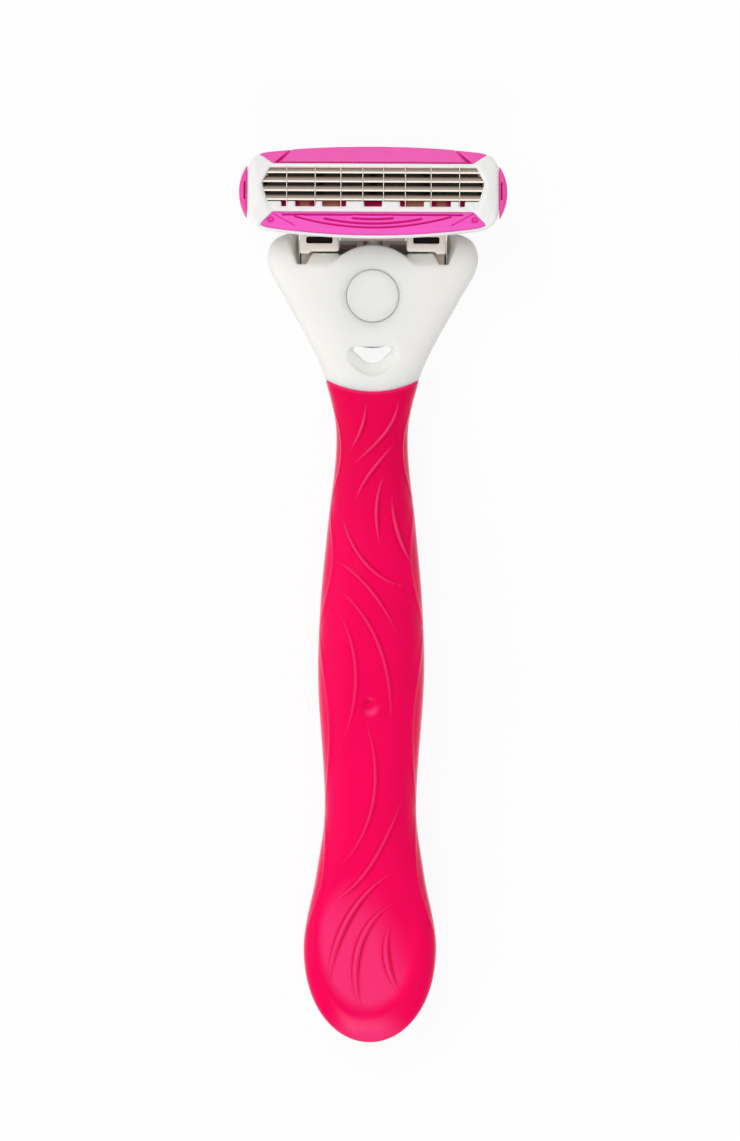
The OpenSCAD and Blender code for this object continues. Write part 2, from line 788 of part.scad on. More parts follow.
module guard_pad() {
    color(trim_pink) at_face() {
        intersection() {
            between(-seat_d, guard_proud) intersection() {
                guard_area(seat_gap);
                face_outline(lip_w + seat_gap);
            }
            long_crown(guard_crown_v, guard_proud, guard_crown_r);
        }
        between(-fin_h, fin_h) for (k = [0:len(fin_spans) - 1]) guard_fin(k);
    }
}

module end_pad() {
    color(trim_pink) at_face() {
        between(-pad_depth, 0) pad_outline();
        pad_tongue(0);
    }
}

module end_pad_right() {
    end_pad();
}

module end_pad_left() {
    mirror([1, 0, 0]) end_pad();
}

module guard_wires() {
    color(steel) at_face() wires(0);
}

// Outline of a blade and of its bent support, edge at the origin, in the plane across the edge
module blade_outline() {
    rotate(-blade_angle) polygon([[0, 0], [bevel, blade_t / 2], [blade_w, blade_t / 2],
        [blade_w, -blade_t / 2], [bevel, -blade_t / 2]]);
}

module support_outline() {
    spine = blade_w * cos(blade_angle);
    leg = spine - 0.05 - support_t;
    rotate(-blade_angle) translate([platform_start, -blade_t / 2 - support_t])
        square([blade_w - platform_start, support_t]);
    translate([leg, leg_bottom]) square([support_t, -0.5 - leg_bottom]);
}

module blade(k) {
    color(steel) at_edge(k) across(-blade_len / 2, blade_len / 2) blade_outline();
}

module blade_support(k) {
    color(steel) at_edge(k) across(-support_len / 2, support_len / 2) support_outline();
}

module cartridge_base() {
    lug = [-1, 1];
    color(taupe) {
        difference() {
            union() {
                at_face() difference() {
                    between(base_back, -frame_d) rounded_box(base_half, -base_foot, base_top, frame_corner);
                    between(base_back - over, -frame_d + over) translate([-rinse_half, -window_low - 0.7])
                        square([2 * rinse_half, window_low + 0.7 + window_top + 0.5]);
                    // Slots in the end walls for the legs of the blade supports
                    for (k = [1:blade_count]) translate([-blade_room, first_edge - (k - 1) * blade_pitch
                        + blade_w * cos(blade_angle) - 0.05 - support_t - seat_gap, leg_bottom])
                        cube([2 * blade_room, support_t + 2 * seat_gap, base_d]);
                }
                // Web over the connector's guide
                at_face() between(base_back, -frame_d) translate([-web_half, -web_foot])
                    square([2 * web_half, web_foot - window_low - over]);
                at_face() for (x = rib_places) between(base_back, leg_bottom)
                    translate([x - rib_t / 2, -window_low - 0.8])
                        square([rib_t, window_low + window_top + 1.4]);
                for (s = lug) translate([s * (lug_out - lug_t / 2), 0, 0]) hinge_lug();
                return_cam();
            }
            translate([-lug_out - over, pivot_y, pivot_z]) rotate([0, 90, 0])
                cylinder(h = 2 * (lug_out + over), d = pin_d + 2 * run_gap);
        }
    }
}

module hinge_lug() {
    translate([-lug_t / 2, pivot_y, pivot_z]) rotate([0, 90, 0]) cylinder(h = lug_t, r = lug_r);
    at_face() translate([-lug_t / 2, -face_ahead - lug_r, -face_rise])
        cube([lug_t, 2 * lug_r, face_rise + base_back + 0.2]);
}

module return_cam() {
    // The cam's contact face stands square to the plunger at rest
    contact = plunger_tip + cam_gap;
    across(-cam_w / 2, cam_w / 2) polygon([[contact, pivot_z - cam_low],
        [contact + cam_back, pivot_z - cam_low], [contact + 2 * cam_back, pivot_z + cam_root],
        [contact, pivot_z + cam_root + 1]]);
}

neck_shell();
back_cover();
grip_sleeve();
release_button();
button_spring();
latch_spring();
connector();
return_plunger();
plunger_spring();
cartridge_base();
cover_frame();
cap_carrier();
lubricating_strip();
guard_pad();
end_pad_left();
end_pad_right();
guard_wires();
blade(1);  // blade_1
blade(2);  // blade_2
blade(3);  // blade_3
blade(4);  // blade_4
blade_support(1);  // blade_support_1
blade_support(2);  // blade_support_2
blade_support(3);  // blade_support_3
blade_support(4);  // blade_support_4
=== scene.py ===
"""Looks of the cartridge razor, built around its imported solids. Lengths in the code are millimetres."""

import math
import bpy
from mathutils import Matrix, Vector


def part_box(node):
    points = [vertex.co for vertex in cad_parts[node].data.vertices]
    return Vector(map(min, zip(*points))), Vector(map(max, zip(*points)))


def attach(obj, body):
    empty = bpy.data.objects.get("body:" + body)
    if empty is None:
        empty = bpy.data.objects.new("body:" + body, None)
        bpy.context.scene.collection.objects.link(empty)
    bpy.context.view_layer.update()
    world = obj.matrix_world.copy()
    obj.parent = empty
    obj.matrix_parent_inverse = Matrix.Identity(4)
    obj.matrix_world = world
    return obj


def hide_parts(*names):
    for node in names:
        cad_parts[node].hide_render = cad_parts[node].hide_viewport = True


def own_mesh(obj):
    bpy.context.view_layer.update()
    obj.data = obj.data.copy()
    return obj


bl_info = {
    "name": "Cartridge Razor",
    "version": (1, 0, 0),
    "blender": (4, 5, 0),
    "location": "View3D > Sidebar > Razor",
    "description": "Dresses the solids of a cartridge razor as moulded plastic, soft grip and steel",
    "category": "Object",
}

import bpy
import numpy as np
from mathutils import Vector

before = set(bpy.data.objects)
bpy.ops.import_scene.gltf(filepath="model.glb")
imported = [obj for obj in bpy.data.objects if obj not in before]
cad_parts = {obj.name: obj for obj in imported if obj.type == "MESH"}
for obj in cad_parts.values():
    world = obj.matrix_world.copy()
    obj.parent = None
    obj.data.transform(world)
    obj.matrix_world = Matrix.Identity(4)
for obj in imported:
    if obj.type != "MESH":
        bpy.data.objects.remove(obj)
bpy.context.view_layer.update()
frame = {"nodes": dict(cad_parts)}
MM = 0.001


def tint(red, green, blue):
    """Scene colour of a screen colour given in steps of 255."""
    steps = (red / 255, green / 255, blue / 255)
    return tuple(s / 12.92 if s <= 0.04045 else ((s + 0.055) / 1.055) ** 2.4 for s in steps)


def colour(name, description, default):
    """A colour that a user may change."""
    return bpy.props.FloatVectorProperty(
        name=name, description=description, subtype="COLOR", size=3, min=0, max=1, default=default)


def length(name, description, default):
    """A length in metres that a user may change."""
    return bpy.props.FloatProperty(
        name=name, description=description, unit="LENGTH", precision=5, min=0, default=default)


class RazorColours(bpy.types.PropertyGroup):
    shell: colour("Shell", "White plastic of the neck and button", tint(244, 243, 239))
    # Painted light: the frame's white is brighter than the shell's, standing in for the stronger light that
    # falls on the cartridge's face.
    frame: colour("Frame", "White plastic of the front frame", tint(255, 253, 247))
    mechanism: colour("Mechanism", "White plastic of the connector", tint(250, 242, 234))
    # Painted shade: a brown tone on the guide and bridge between the connector's blocks, standing in for the
    # shade under the head.
    stain: colour("Stain", "Brown stain in the middle of the connector", tint(160, 124, 120))
    # Painted shade: the tray is coloured dark so that the gaps behind the blades look black, where there is
    # only shade.
    base: colour("Base", "Dark plastic of the tray behind the blades", tint(66, 52, 48))
    grip: colour("Grip", "Soft sleeve of the handle", tint(252, 1, 90))
    # Painted highlight: the crest tone makes the ridges' crests, the left edge, the seam, the thumb rest, the
    # tail and the dimple's lower lip pale.
    crest: colour("Crest", "Worn crests of the grip's ridges", tint(255, 66, 138))
    # Painted shade: the crease tone darkens the ridges' feet, the dimple's upper left and the grip's upper
    # end.
    crease: colour("Crease", "Deep tone at the foot of the grip's ridges", tint(214, 0, 58))
    strip: colour("Strip", "Lubricating strip and its carrier", tint(255, 100, 190))
    guard: colour("Guard", "Soft guard below the blades", tint(255, 98, 203))
    # Painted shade: the deeper tone in the guard's grooves and on the strip's end facets stands in for their
    # shade.
    groove: colour("Groove", "Deep tone in the grooves of the guard", tint(236, 18, 164))
    end_pads: colour("End pads", "Crescents at the sides of the frame", tint(250, 85, 178))
    blade: colour("Blade", "Ground flat of the blades", tint(184, 165, 150))
    # Painted highlight: the honed edge is a near-white steel, far lighter than the flat, standing in for the
    # glint of light along the edge.
    edge: colour("Edge", "Honed edge of the blades", tint(250, 243, 228))
    spring: colour("Spring", "Spring steel and guard wires", tint(196, 192, 188))
    # Also the colour of painted shade: the dark strips in the connector's slots and the shaded backs of the
    # blades.
    support: colour("Support", "Dark blade supports", tint(34, 26, 24))
    bare: colour("Bare lining", "Brown plastic under the rubber in the rinse windows", tint(206, 128, 112))
    # Partly painted shade: the guard's rubber behind the rinse windows is given a darker, deeper tone than
    # the guard itself.
    lining: colour("Lining", "Pink rubber seen in the rinse windows", tint(196, 24, 84))


class RazorSizes(bpy.types.PropertyGroup):
    ridge_height: length("Ridge height", "How far the flowing ridges stand out of the grip", 0.0003)
    ridge_width: length("Ridge width", "Width of a flowing ridge at its middle", 0.00084)
    tail_fall: length("Tail fall", "Fall of the bulb's front towards the tail", 0.0027)
    dish_depth: length("Dish depth", "Depth of the hollowed thumb rest", 0.00055)
    edge_round: length("Edge rounding", "Rounding of the moulded edges of the neck", 0.0003)
    groove_depth: length("Groove depth", "Depth of the grooves in the guard", 0.0005)
    bevel: length("Bevel", "Rounding on the edges of the plain solids", 0.00012)


class RazorStage(bpy.types.PropertyGroup):
    sky: bpy.props.FloatProperty(
        name="Sky", description="Strength of the even light overhead", min=0, default=0.77)
    horizon: bpy.props.FloatProperty(
        name="Horizon", description="Strength of the even light from the sides", min=0, default=0.27)
    key: bpy.props.FloatProperty(
        name="Key", description="Power by which the lamps are set", unit="POWER", min=0, default=1.9)
    shadow: bpy.props.FloatProperty(
        name="Shadow", description="Share of the floor that takes a shadow", subtype="FACTOR",
        min=0, max=1, default=0.08)
    camera_height: length("Camera height", "Height of the camera over the floor", 1.0)


# Solids as fields: the distance to the surface, negative inside

def join(a, b, r=0.0):
    """Both solids as one, with a fillet of about r."""
    if r <= 0:
        return np.minimum(a, b)
    h = np.maximum(r - np.abs(a - b), 0) / r
    return np.minimum(a, b) - h * h * r / 4


def keep(a, b, r=0.0):
    """The part of one solid that lies in the other, with edges rounded by about r."""
    return -join(-a, -b, r)


def cut(a, b, r=0.0):
    """One solid less the other, with edges rounded by about r."""
    return keep(a, -b, r)


def block(place, low, high, r=0.0):
    """A box with rounded edges."""
    q = [np.abs(p - (a + b) / 2) - (b - a) / 2 + r for p, a, b in zip(place, low, high)]
    out = np.sqrt(sum(np.maximum(c, 0) ** 2 for c in q))
    return out + np.minimum(np.maximum(np.maximum(q[0], q[1]), q[2]), 0) - r


def outline(x, y, corners):
    """A closed outline of straight sides."""
    least = np.inf
    side = 1.0
    for (ax, ay), (bx, by) in zip(corners[-1:] + corners[:-1], corners):
        ex, ey = bx - ax, by - ay
        px, py = x - ax, y - ay
        t = np.clip((px * ex + py * ey) / (ex * ex + ey * ey), 0, 1)
        least = np.minimum(least, (px - ex * t) ** 2 + (py - ey * t) ** 2)
        if ey:
            crossed = ((ay > y) != (by > y)) & (x < ex * (y - ay) / ey + ax)
            side = np.where(crossed, -side, side)
    return side * np.sqrt(least)


def rise(value, start, end):
    """A smooth step from 0 at start to 1 at end."""
    t = np.clip((value - start) / (end - start), 0, 1)
    return t * t * (3 - 2 * t)


def surface_net(values, axes):
    """Points and four-cornered faces on the surface of a field sampled on a grid."""
    inside = values < 0
    span = [n - 1 for n in values.shape]

    def at(grid, c):
        return grid[c[0]:c[0] + span[0], c[1]:c[1] + span[1], c[2]:c[2] + span[2]]

    corners = [(i, j, k) for i in (0, 1) for j in (0, 1) for k in (0, 1)]
    count = sum(at(inside, c).astype(np.int8) for c in corners)
    mixed = (count > 0) & (count < 8)
    cells = np.argwhere(mixed)
    number = np.full(mixed.shape, -1)
    number[mixed] = np.arange(len(cells))
    total = np.zeros((len(cells), 3))
    hits = np.zeros(len(cells))
    for start in corners:
        for axis in (0, 1, 2):
            if start[axis]:
                continue
            end = tuple(1 if i == axis else c for i, c in enumerate(start))
            a, b = at(values, start)[mixed], at(values, end)[mixed]
            crossed = (a < 0) != (b < 0)
            point = np.tile(np.array(start, float), (len(cells), 1))
            point[:, axis] = np.where(crossed, a / np.where(crossed, a - b, 1), 0)
            total += np.where(crossed[:, None], point, 0)
            hits += crossed
    grid_place = cells + total / hits[:, None]
    points = np.stack([a[0] + grid_place[:, i] * (a[1] - a[0]) for i, a in enumerate(axes)], axis=1)
    faces = []
    for axis in (0, 1, 2):
        u, v = (axis + 1) % 3, (axis + 2) % 3
        first = np.take(inside, range(span[axis]), axis)
        second = np.take(inside, range(1, span[axis] + 1), axis)
        ids = np.argwhere(first != second)
        whole = (ids[:, u] > 0) & (ids[:, v] > 0) & (ids[:, u] < span[u]) & (ids[:, v] < span[v])
        ids = ids[whole]
        around = []
        for du, dv in ((-1, -1), (0, -1), (0, 0), (-1, 0)):
            cell = ids.copy()
            cell[:, u] += du
            cell[:, v] += dv
            around.append(number[tuple(cell.T)])
        ring = np.stack(around, axis=1)
        back = ~inside[tuple(ids.T)]
        ring[back] = ring[back][:, ::-1]
        faces.append(ring)
    return points, np.concatenate(faces)


def settle(points, field, limit):
    """Moves points onto the surface of their field, by a limited way each time."""
    rounds, step, least_slope = 2, 0.01, 0.3
    for _ in range(rounds):
        slope = np.stack([(field(*(points + d).T) - field(*(points - d).T)) / (2 * step)
                          for d in step * np.eye(3)], axis=1)
        move = (field(*points.T) / np.maximum((slope * slope).sum(1), least_slope))[:, None] * slope
        size = np.linalg.norm(move, axis=1, keepdims=True)
        points = points - move * np.minimum(1, limit / np.maximum(size, 1e-9))
    return points


def mesh_piece(name, points, faces, materials, face_materials=None):
    """A mesh object from points in millimetres."""
    mesh = bpy.data.meshes.new(name)
    mesh.from_pydata((np.asarray(points) * MM).tolist(), [], [list(map(int, f)) for f in faces])
    for m in materials:
        mesh.materials.append(m)
    if face_materials is not None:
        mesh.polygons.foreach_set("material_index", np.asarray(face_materials, np.int32))
    mesh.shade_smooth()
    mesh.update()
    piece = bpy.data.objects.new(name, mesh)
    bpy.context.scene.collection.objects.link(piece)
    return piece


def moulded(name, field, low, high, cell, material, place=None, hollow=None):
    """A moulded piece: the surface of a field inside a box, with its hollows marked where they are given."""
    axes = [np.arange(a - 1.5 * c, b + 2 * c, c) for a, b, c in zip(low, high, cell)]
    grid = np.meshgrid(*axes, indexing="ij", sparse=True)
    values = np.broadcast_to(field(*grid), [len(a) for a in axes])
    points, faces = surface_net(values, axes)
    points = settle(points, field, 0.5 * min(cell))
    marks = hollow(*points.T) if hollow else None
    if place:
        points = place(points)
    piece = mesh_piece(name, points, faces, [material])
    if hollow:
        mark(piece, "hollow", marks)
    return piece


def mark(piece, name, values):
    """Stores a value from 0 to 1 at each point, such as how deep it lies in a hollow."""
    layer = piece.data.attributes.new(name, "FLOAT", "POINT")
    layer.data.foreach_set("value", np.asarray(values, np.float32))


def fit(piece, body, slot, *nodes):
    """Puts a piece on its body, in place of its plain solids."""
    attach(piece, body)
    if nodes:
        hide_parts(*nodes)


# Handle outline: place along it, half width, underside, front, squareness
HANDLE_ROWS = np.array([
    (9.9, 16.9, -0.4, 9.5, 4.5), (3.4, 13.92, -0.4, 9.5, 4.5), (-3.5, 10.09, -0.4, 9.5, 4.0),
    (-9.3, 7.54, -0.1, 10.0, 3.0), (-18.4, 5.65, 0.5, 11.1, 2.4), (-33.65, 7.025, 1.35, 13.12, 2.3),
    (-44.99, 8.04, 1.945, 14.95, 2.3), (-57.5, 8.4, 2.2, 15.8, 2.3), (-78.4, 7.25, 1.4, 13.6, 2.3),
    (-89.0, 8.6, 0.467, 12.76, 2.35), (-100.5, 10.55, 0.0, 12.4, 2.4)])[::-1]
HALF_WIDTH, UNDERSIDE, FRONT, SQUARENESS = 1, 2, 3, 4
BUTTON_Y = 3.85
SEAM_R, SEAM_Y = 15.35, -11.5
EAR_Y, EAR_END = 9.9, 14.2
EAR_NARROWING, EAR_THINNING = 3.5, 1.8
BULB_TOP, BULB_Y, TAIL_Y = -86.0, -100.5, -115.7


def handle_row(y, column):
    """One measure of the handle at a place along it."""
    place, value = HANDLE_ROWS[:, 0], HANDLE_ROWS[:, column]
    slope = np.zeros(len(value))
    slope[1:-1] = (value[2:] - value[:-2]) / (place[2:] - place[:-2])
    y = np.clip(y, BULB_Y, EAR_Y)
    i = np.clip(np.searchsorted(place, y, side="right") - 1, 0, len(place) - 2)
    d = place[i + 1] - place[i]
    t = (y - place[i]) / d
    return ((2 * t ** 3 - 3 * t ** 2 + 1) * value[i] + (t ** 3 - 2 * t ** 2 + t) * d * slope[i]
            + (3 * t ** 2 - 2 * t ** 3) * value[i + 1] + (t ** 3 - t ** 2) * d * slope[i + 1])


def handle_section(y):
    """Half width, middle, half thickness and squareness at a place along the handle."""
    fall = 1 - np.sqrt(1 - np.clip((y - EAR_Y) / (EAR_END - EAR_Y), 0, 1) ** 2)
    tail = np.sqrt(1 - np.clip((BULB_Y - y) / (BULB_Y - TAIL_Y), 0, 1) ** 2.15)
    low, high = handle_row(y, UNDERSIDE), handle_row(y, FRONT)
    low = np.where(y < SEAM_Y, np.maximum(low, 0), low)
    half = (handle_row(y, HALF_WIDTH) - EAR_NARROWING * fall) * tail
    thick = (high - low) / 2 * tail - EAR_THINNING * fall
    return half, (low + high) / 2, thick, handle_row(y, SQUARENESS)


# Shaving face: across, towards the cap, out of the face
FACE_TILT = math.radians(20)
FACE_C, FACE_S = math.cos(FACE_TILT), math.sin(FACE_TILT)
FACE_HALF_WIDTH, FACE_HALF_HEIGHT, FACE_CORNER = 20.1, 8.2, 3.5
CAP_ARC, LIP_ARC, LIP_LEAN = 123.8, 110.2, 0.38
CAP_LOW, STRIP_LOW, GUARD_TOP, SEAT_CORNER = 4.68, 4.88, -3.66, 16
# Pivot pins in the razor's frame, and how far they lie below and behind the middle of the face
PIVOT_Y, PIVOT_Z = 15, 7.8
PIVOT_BELOW, PIVOT_BEHIND = 3.5, 6.4
# Rinse windows on one side of the middle: place and width
RINSE_WINDOWS = ((0, 2.85), (6.2, 3.8), (10.77, 3.25), (14.18, 0.9))


def on_face(points):
    """Places points of the shaving face in the razor's frame."""
    x, v, w = points.T
    up, out = v + PIVOT_BELOW, w + PIVOT_BEHIND
    return np.stack([x, PIVOT_Y + up * FACE_C + out * FACE_S, PIVOT_Z - up * FACE_S + out * FACE_C], axis=1)


def face_outline(x, v, w=0.0):
    """Outline of the cartridge's face. Its lower wall leans with depth w, away from the handle."""
    cap = np.hypot(x, v - FACE_HALF_HEIGHT + CAP_ARC) - CAP_ARC
    lip = np.hypot(x, v + FACE_HALF_HEIGHT - LIP_ARC + LIP_LEAN * np.minimum(w, 0)) - LIP_ARC
    return keep(keep(cap, lip), np.abs(x) - FACE_HALF_WIDTH, FACE_CORNER)


def cap_area(x, v):
    """The seat of the cap carrier, with slanted ends."""
    slant = ((np.abs(x) - SEAT_CORNER) * 1.76 - (v - CAP_LOW) * 2.3) / 2.896
    return np.maximum(np.maximum(CAP_LOW - v, slant), np.abs(x) - 18.3)


def strip_end(x, v):
    """The slanted ends of the lubricating strip."""
    return (np.abs(x) - 15.8 + (v - STRIP_LOW) * 1.02) / 1.428


def strip_area(x, v):
    """The seat of the lubricating strip in its carrier."""
    return np.maximum(STRIP_LOW - v, strip_end(x, v))


def guard_area(x, v):
    """The seat of the guard, with slanted ends."""
    slant = ((np.abs(x) - SEAT_CORNER) * 2.49 + (v - GUARD_TOP) * 2.3) / 3.39
    return np.maximum(v - GUARD_TOP, slant)


def window_area(x, v):
    """The blade window, widest a little above its middle."""
    widest = 1.36
    half = 17.76 - np.where(v > widest, (v - widest) * 0.469, (widest - v) * 0.271)
    return np.maximum(np.abs(x) - half, np.abs(v - 1.075) - 2.975)


def rinse_area(x, v):
    """The row of rinse windows below the blades."""
    half = np.inf
    for middle, width in RINSE_WINDOWS:
        half = np.minimum(half, np.abs(np.abs(x) - middle) - width / 2)
    return np.maximum(half, np.abs(v + 2.25) - 0.55)


def crown(place, top, r):
    """Height of a rounded back of radius r."""
    return top - r + np.sqrt(np.maximum(r * r - place * place, 0))


# Finishes

# Sockets of a Mix node that mixes colours
MIX_FACTOR, MIX_FIRST, MIX_SECOND, MIX_RESULT = 0, 6, 7, 2


def nodes_of(name):
    """A new material with its node tree and shader."""
    material = bpy.data.materials.new(name)
    material.use_nodes = True
    tree = material.node_tree
    return material, tree, tree.nodes["Principled BSDF"]


def add(tree, kind, links=(), **values):
    """Adds a node, sets its inputs by name and links the given sockets to it."""
    node = tree.nodes.new(kind)
    for key, value in values.items():
        if key in node.inputs:
            node.inputs[key].default_value = value
        else:
            setattr(node, key, value)
    for output, key in links:
        tree.links.new(output, node.inputs[key])
    return node


def put(node, **values):
    """Sets inputs of a node, named with _ for each space."""
    for key, value in values.items():
        node.inputs[key.replace("_", " ")].default_value = value


def on_piece(tree, stretch=None):
    """Places on the piece itself, stretched where grain runs one way."""
    place = add(tree, "ShaderNodeTexCoord").outputs["Object"]
    if stretch:
        return add(tree, "ShaderNodeMapping", [(place, "Vector")], Scale=stretch).outputs["Vector"]
    return place


def noise(tree, place, scale, detail):
    """An uneven pattern, from 0 to 1."""
    return add(tree, "ShaderNodeTexNoise", [(place, "Vector")], Scale=scale, Detail=detail).outputs["Fac"]


def mottled(tree, shader, base, pattern, levels, stops=(0.32, 0.68)):
    """Base colour that drifts between a darker and a lighter tone. Returns the colour."""
    ramp = add(tree, "ShaderNodeValToRGB", [(pattern, "Fac")])
    for stop, at, level in zip(ramp.color_ramp.elements, stops, levels):
        stop.position = at
        stop.color = (*(min(1, c * level) for c in base), 1)
    tree.links.new(ramp.outputs["Color"], shader.inputs["Base Color"])
    return ramp.outputs["Color"]


def tone_marked(tree, shader, tone, name, other):
    """Mixes another tone into the base colour where a mark is stored. Returns the mixed colour."""
    where = add(tree, "ShaderNodeAttribute", attribute_name=name)
    mixed = add(tree, "ShaderNodeMix", data_type="RGBA")
    mixed.inputs[MIX_SECOND].default_value = (*other, 1)
    tree.links.new(where.outputs["Fac"], mixed.inputs[MIX_FACTOR])
    tree.links.new(tone, mixed.inputs[MIX_FIRST])
    tree.links.new(mixed.outputs[MIX_RESULT], shader.inputs["Base Color"])
    return mixed.outputs[MIX_RESULT]


def grained(tree, shader, pattern, low, high, strength, depth):
    """Roughness between low and high, and a fine relief of that depth in metres, both after a pattern."""
    spread = add(tree, "ShaderNodeMapRange", [(pattern, "Value")], **{"To Min": low, "To Max": high})
    tree.links.new(spread.outputs["Result"], shader.inputs["Roughness"])
    relief = add(tree, "ShaderNodeBump", [(pattern, "Height")], Strength=strength, Distance=depth)
    tree.links.new(relief.outputs["Normal"], shader.inputs["Normal"])


def satin_plastic(name, base, roughness, specular, depth=0.0, deep=None):
    """Moulded plastic with a fine spark-eroded grain, which light enters to a depth in metres."""
    material, tree, shader = nodes_of(name)
    place = on_piece(tree)
    tone = mottled(tree, shader, base, noise(tree, place, 140.0, 3.0), (0.985, 1.01))
    if deep:
        tone_marked(tree, shader, tone, "hollow", deep)
    fine = noise(tree, place, 2600.0, 2.0)
    grained(tree, shader, fine, roughness - 0.06, roughness + 0.06, 0.12, 0.00004)
    put(shader, Specular_IOR_Level=specular)
    if depth:
        put(shader, Subsurface_Weight=0.8, Subsurface_Radius=(1, 0.95, 0.9), Subsurface_Scale=depth)
    return material


def soft_rubber(name, base, roughness, specular, sheen, deep=None, painted_highlight=None):
    """Soft moulded rubber with a fine matt grain, a pale bloom at glancing angles, a deeper tone where
    marked, which is painted shade on the grip and the guard, and crests painted pale as a painted highlight.
    """
    material, tree, shader = nodes_of(name)
    place = on_piece(tree)
    tone = mottled(tree, shader, base, noise(tree, place, 90.0, 3.0), (0.965, 1.015))
    if deep:
        tone = tone_marked(tree, shader, tone, "hollow", deep)
    if painted_highlight:
        tone_marked(tree, shader, tone, "crest", painted_highlight)
    fine = noise(tree, place, 1800.0, 4.0)
    grained(tree, shader, fine, roughness - 0.04, roughness + 0.04, 0.16, 0.00005)
    put(shader, Specular_IOR_Level=specular, Sheen_Weight=sheen, Sheen_Roughness=0.28)
    return material


def coated_strip(name, base, deep):
    """Extruded strip with fine lengthwise drag lines and specks, and ends painted deeper as painted shade."""
    material, tree, shader = nodes_of(name)
    specks = noise(tree, on_piece(tree), 700.0, 3.0)
    tone = mottled(tree, shader, base, specks, (0.965, 1.015))
    tone_marked(tree, shader, tone, "hollow", deep)
    drag = noise(tree, on_piece(tree, (0.06, 1, 1)), 4200.0, 2.0)
    grained(tree, shader, drag, 0.36, 0.52, 0.15, 0.00004)
    put(shader, Specular_IOR_Level=0.2)
    return material


def ground_steel(name, base, low, high, deep=None):
    """Steel with fine grinding lines across its width, and a darker tone where it lies in shade."""
    material, tree, shader = nodes_of(name)
    lines = noise(tree, on_piece(tree, (1, 0.05, 0.05)), 5200.0, 3.0)
    tone = mottled(tree, shader, base, lines, (0.975, 1.01), (0.3, 0.7))
    if deep:
        tone_marked(tree, shader, tone, "hollow", deep)
    grained(tree, shader, lines, low, high, 0.012, 0.00002)
    put(shader, Metallic=1.0)
    return material


# Finishes by name: how each is made, its colour, and what its maker is given. Words are names of colours.
FINISHES = {
    "satin_shell": (satin_plastic, "shell", dict(roughness=0.46, specular=0.08, depth=0.0022)),
    "satin_frame": (satin_plastic, "frame", dict(roughness=0.46, specular=0.4, depth=0.0006)),
    # The connector's middle is painted brown as painted shade.
    "satin_mechanism": (satin_plastic, "mechanism", dict(roughness=0.46, specular=0.1, deep="stain")),
    "carrier_plastic": (satin_plastic, "strip", dict(roughness=0.36, specular=0.1)),
    "support_strip": (satin_plastic, "support", dict(roughness=0.6, specular=0.1)),
    "base_plastic": (satin_plastic, "base", dict(roughness=0.5, specular=0.2)),
    # The grip's crease and crest marks are painted shade and painted highlight.
    "grip_sleeve_rubber": (soft_rubber, "grip", dict(
        roughness=0.25, specular=0.045, sheen=0.3, deep="crease", painted_highlight="crest")),
    # The guard's grooves are painted deeper as painted shade.
    "guard_elastomer": (soft_rubber, "guard", dict(roughness=0.4, specular=0.06, sheen=0.05, deep="groove")),
    "end_pad_elastomer": (soft_rubber, "end_pads", dict(roughness=0.42, specular=0.08, sheen=0.05)),
    "rinse_lining": (soft_rubber, "lining", dict(roughness=0.45, specular=0.15, sheen=0.0, deep="bare")),
    # The strip's end facets are painted deeper as painted shade.
    "strip_coating": (coated_strip, "strip", dict(deep="groove")),
    "blade_flat": (ground_steel, "blade", dict(low=0.27, high=0.31, deep="support")),
    # The honed edge's near-white colour is a painted highlight.
    "blade_edge": (ground_steel, "edge", dict(low=0.3, high=0.42)),
    "spring_wire": (ground_steel, "spring", dict(low=0.2, high=0.32)),
}


def finish(context, name):
    """The material of that name, made the first time it is asked for."""
    if name in bpy.data.materials:
        return bpy.data.materials[name]
    colours = context.scene.razor_colours
    maker, base, given = FINISHES[name]
    given = {key: getattr(colours, value) if isinstance(value, str) else value
             for key, value in given.items()}
    return maker(name, getattr(colours, base), **given)


def dress(context, node, material, bevel=True):
    """Gives a plain solid its finish, and soft edges where they show."""
    solid = frame["nodes"][node]
    solid.data.materials.clear()
    solid.data.materials.append(finish(context, material))
    if bevel:
        soft = solid.modifiers.new("soft_edges", "BEVEL")
        soft.width = context.scene.razor_sizes.bevel
        soft.segments = 2
        soft.limit_method = "ANGLE"
        soft.angle_limit = math.radians(40)
        soft.harden_normals = True


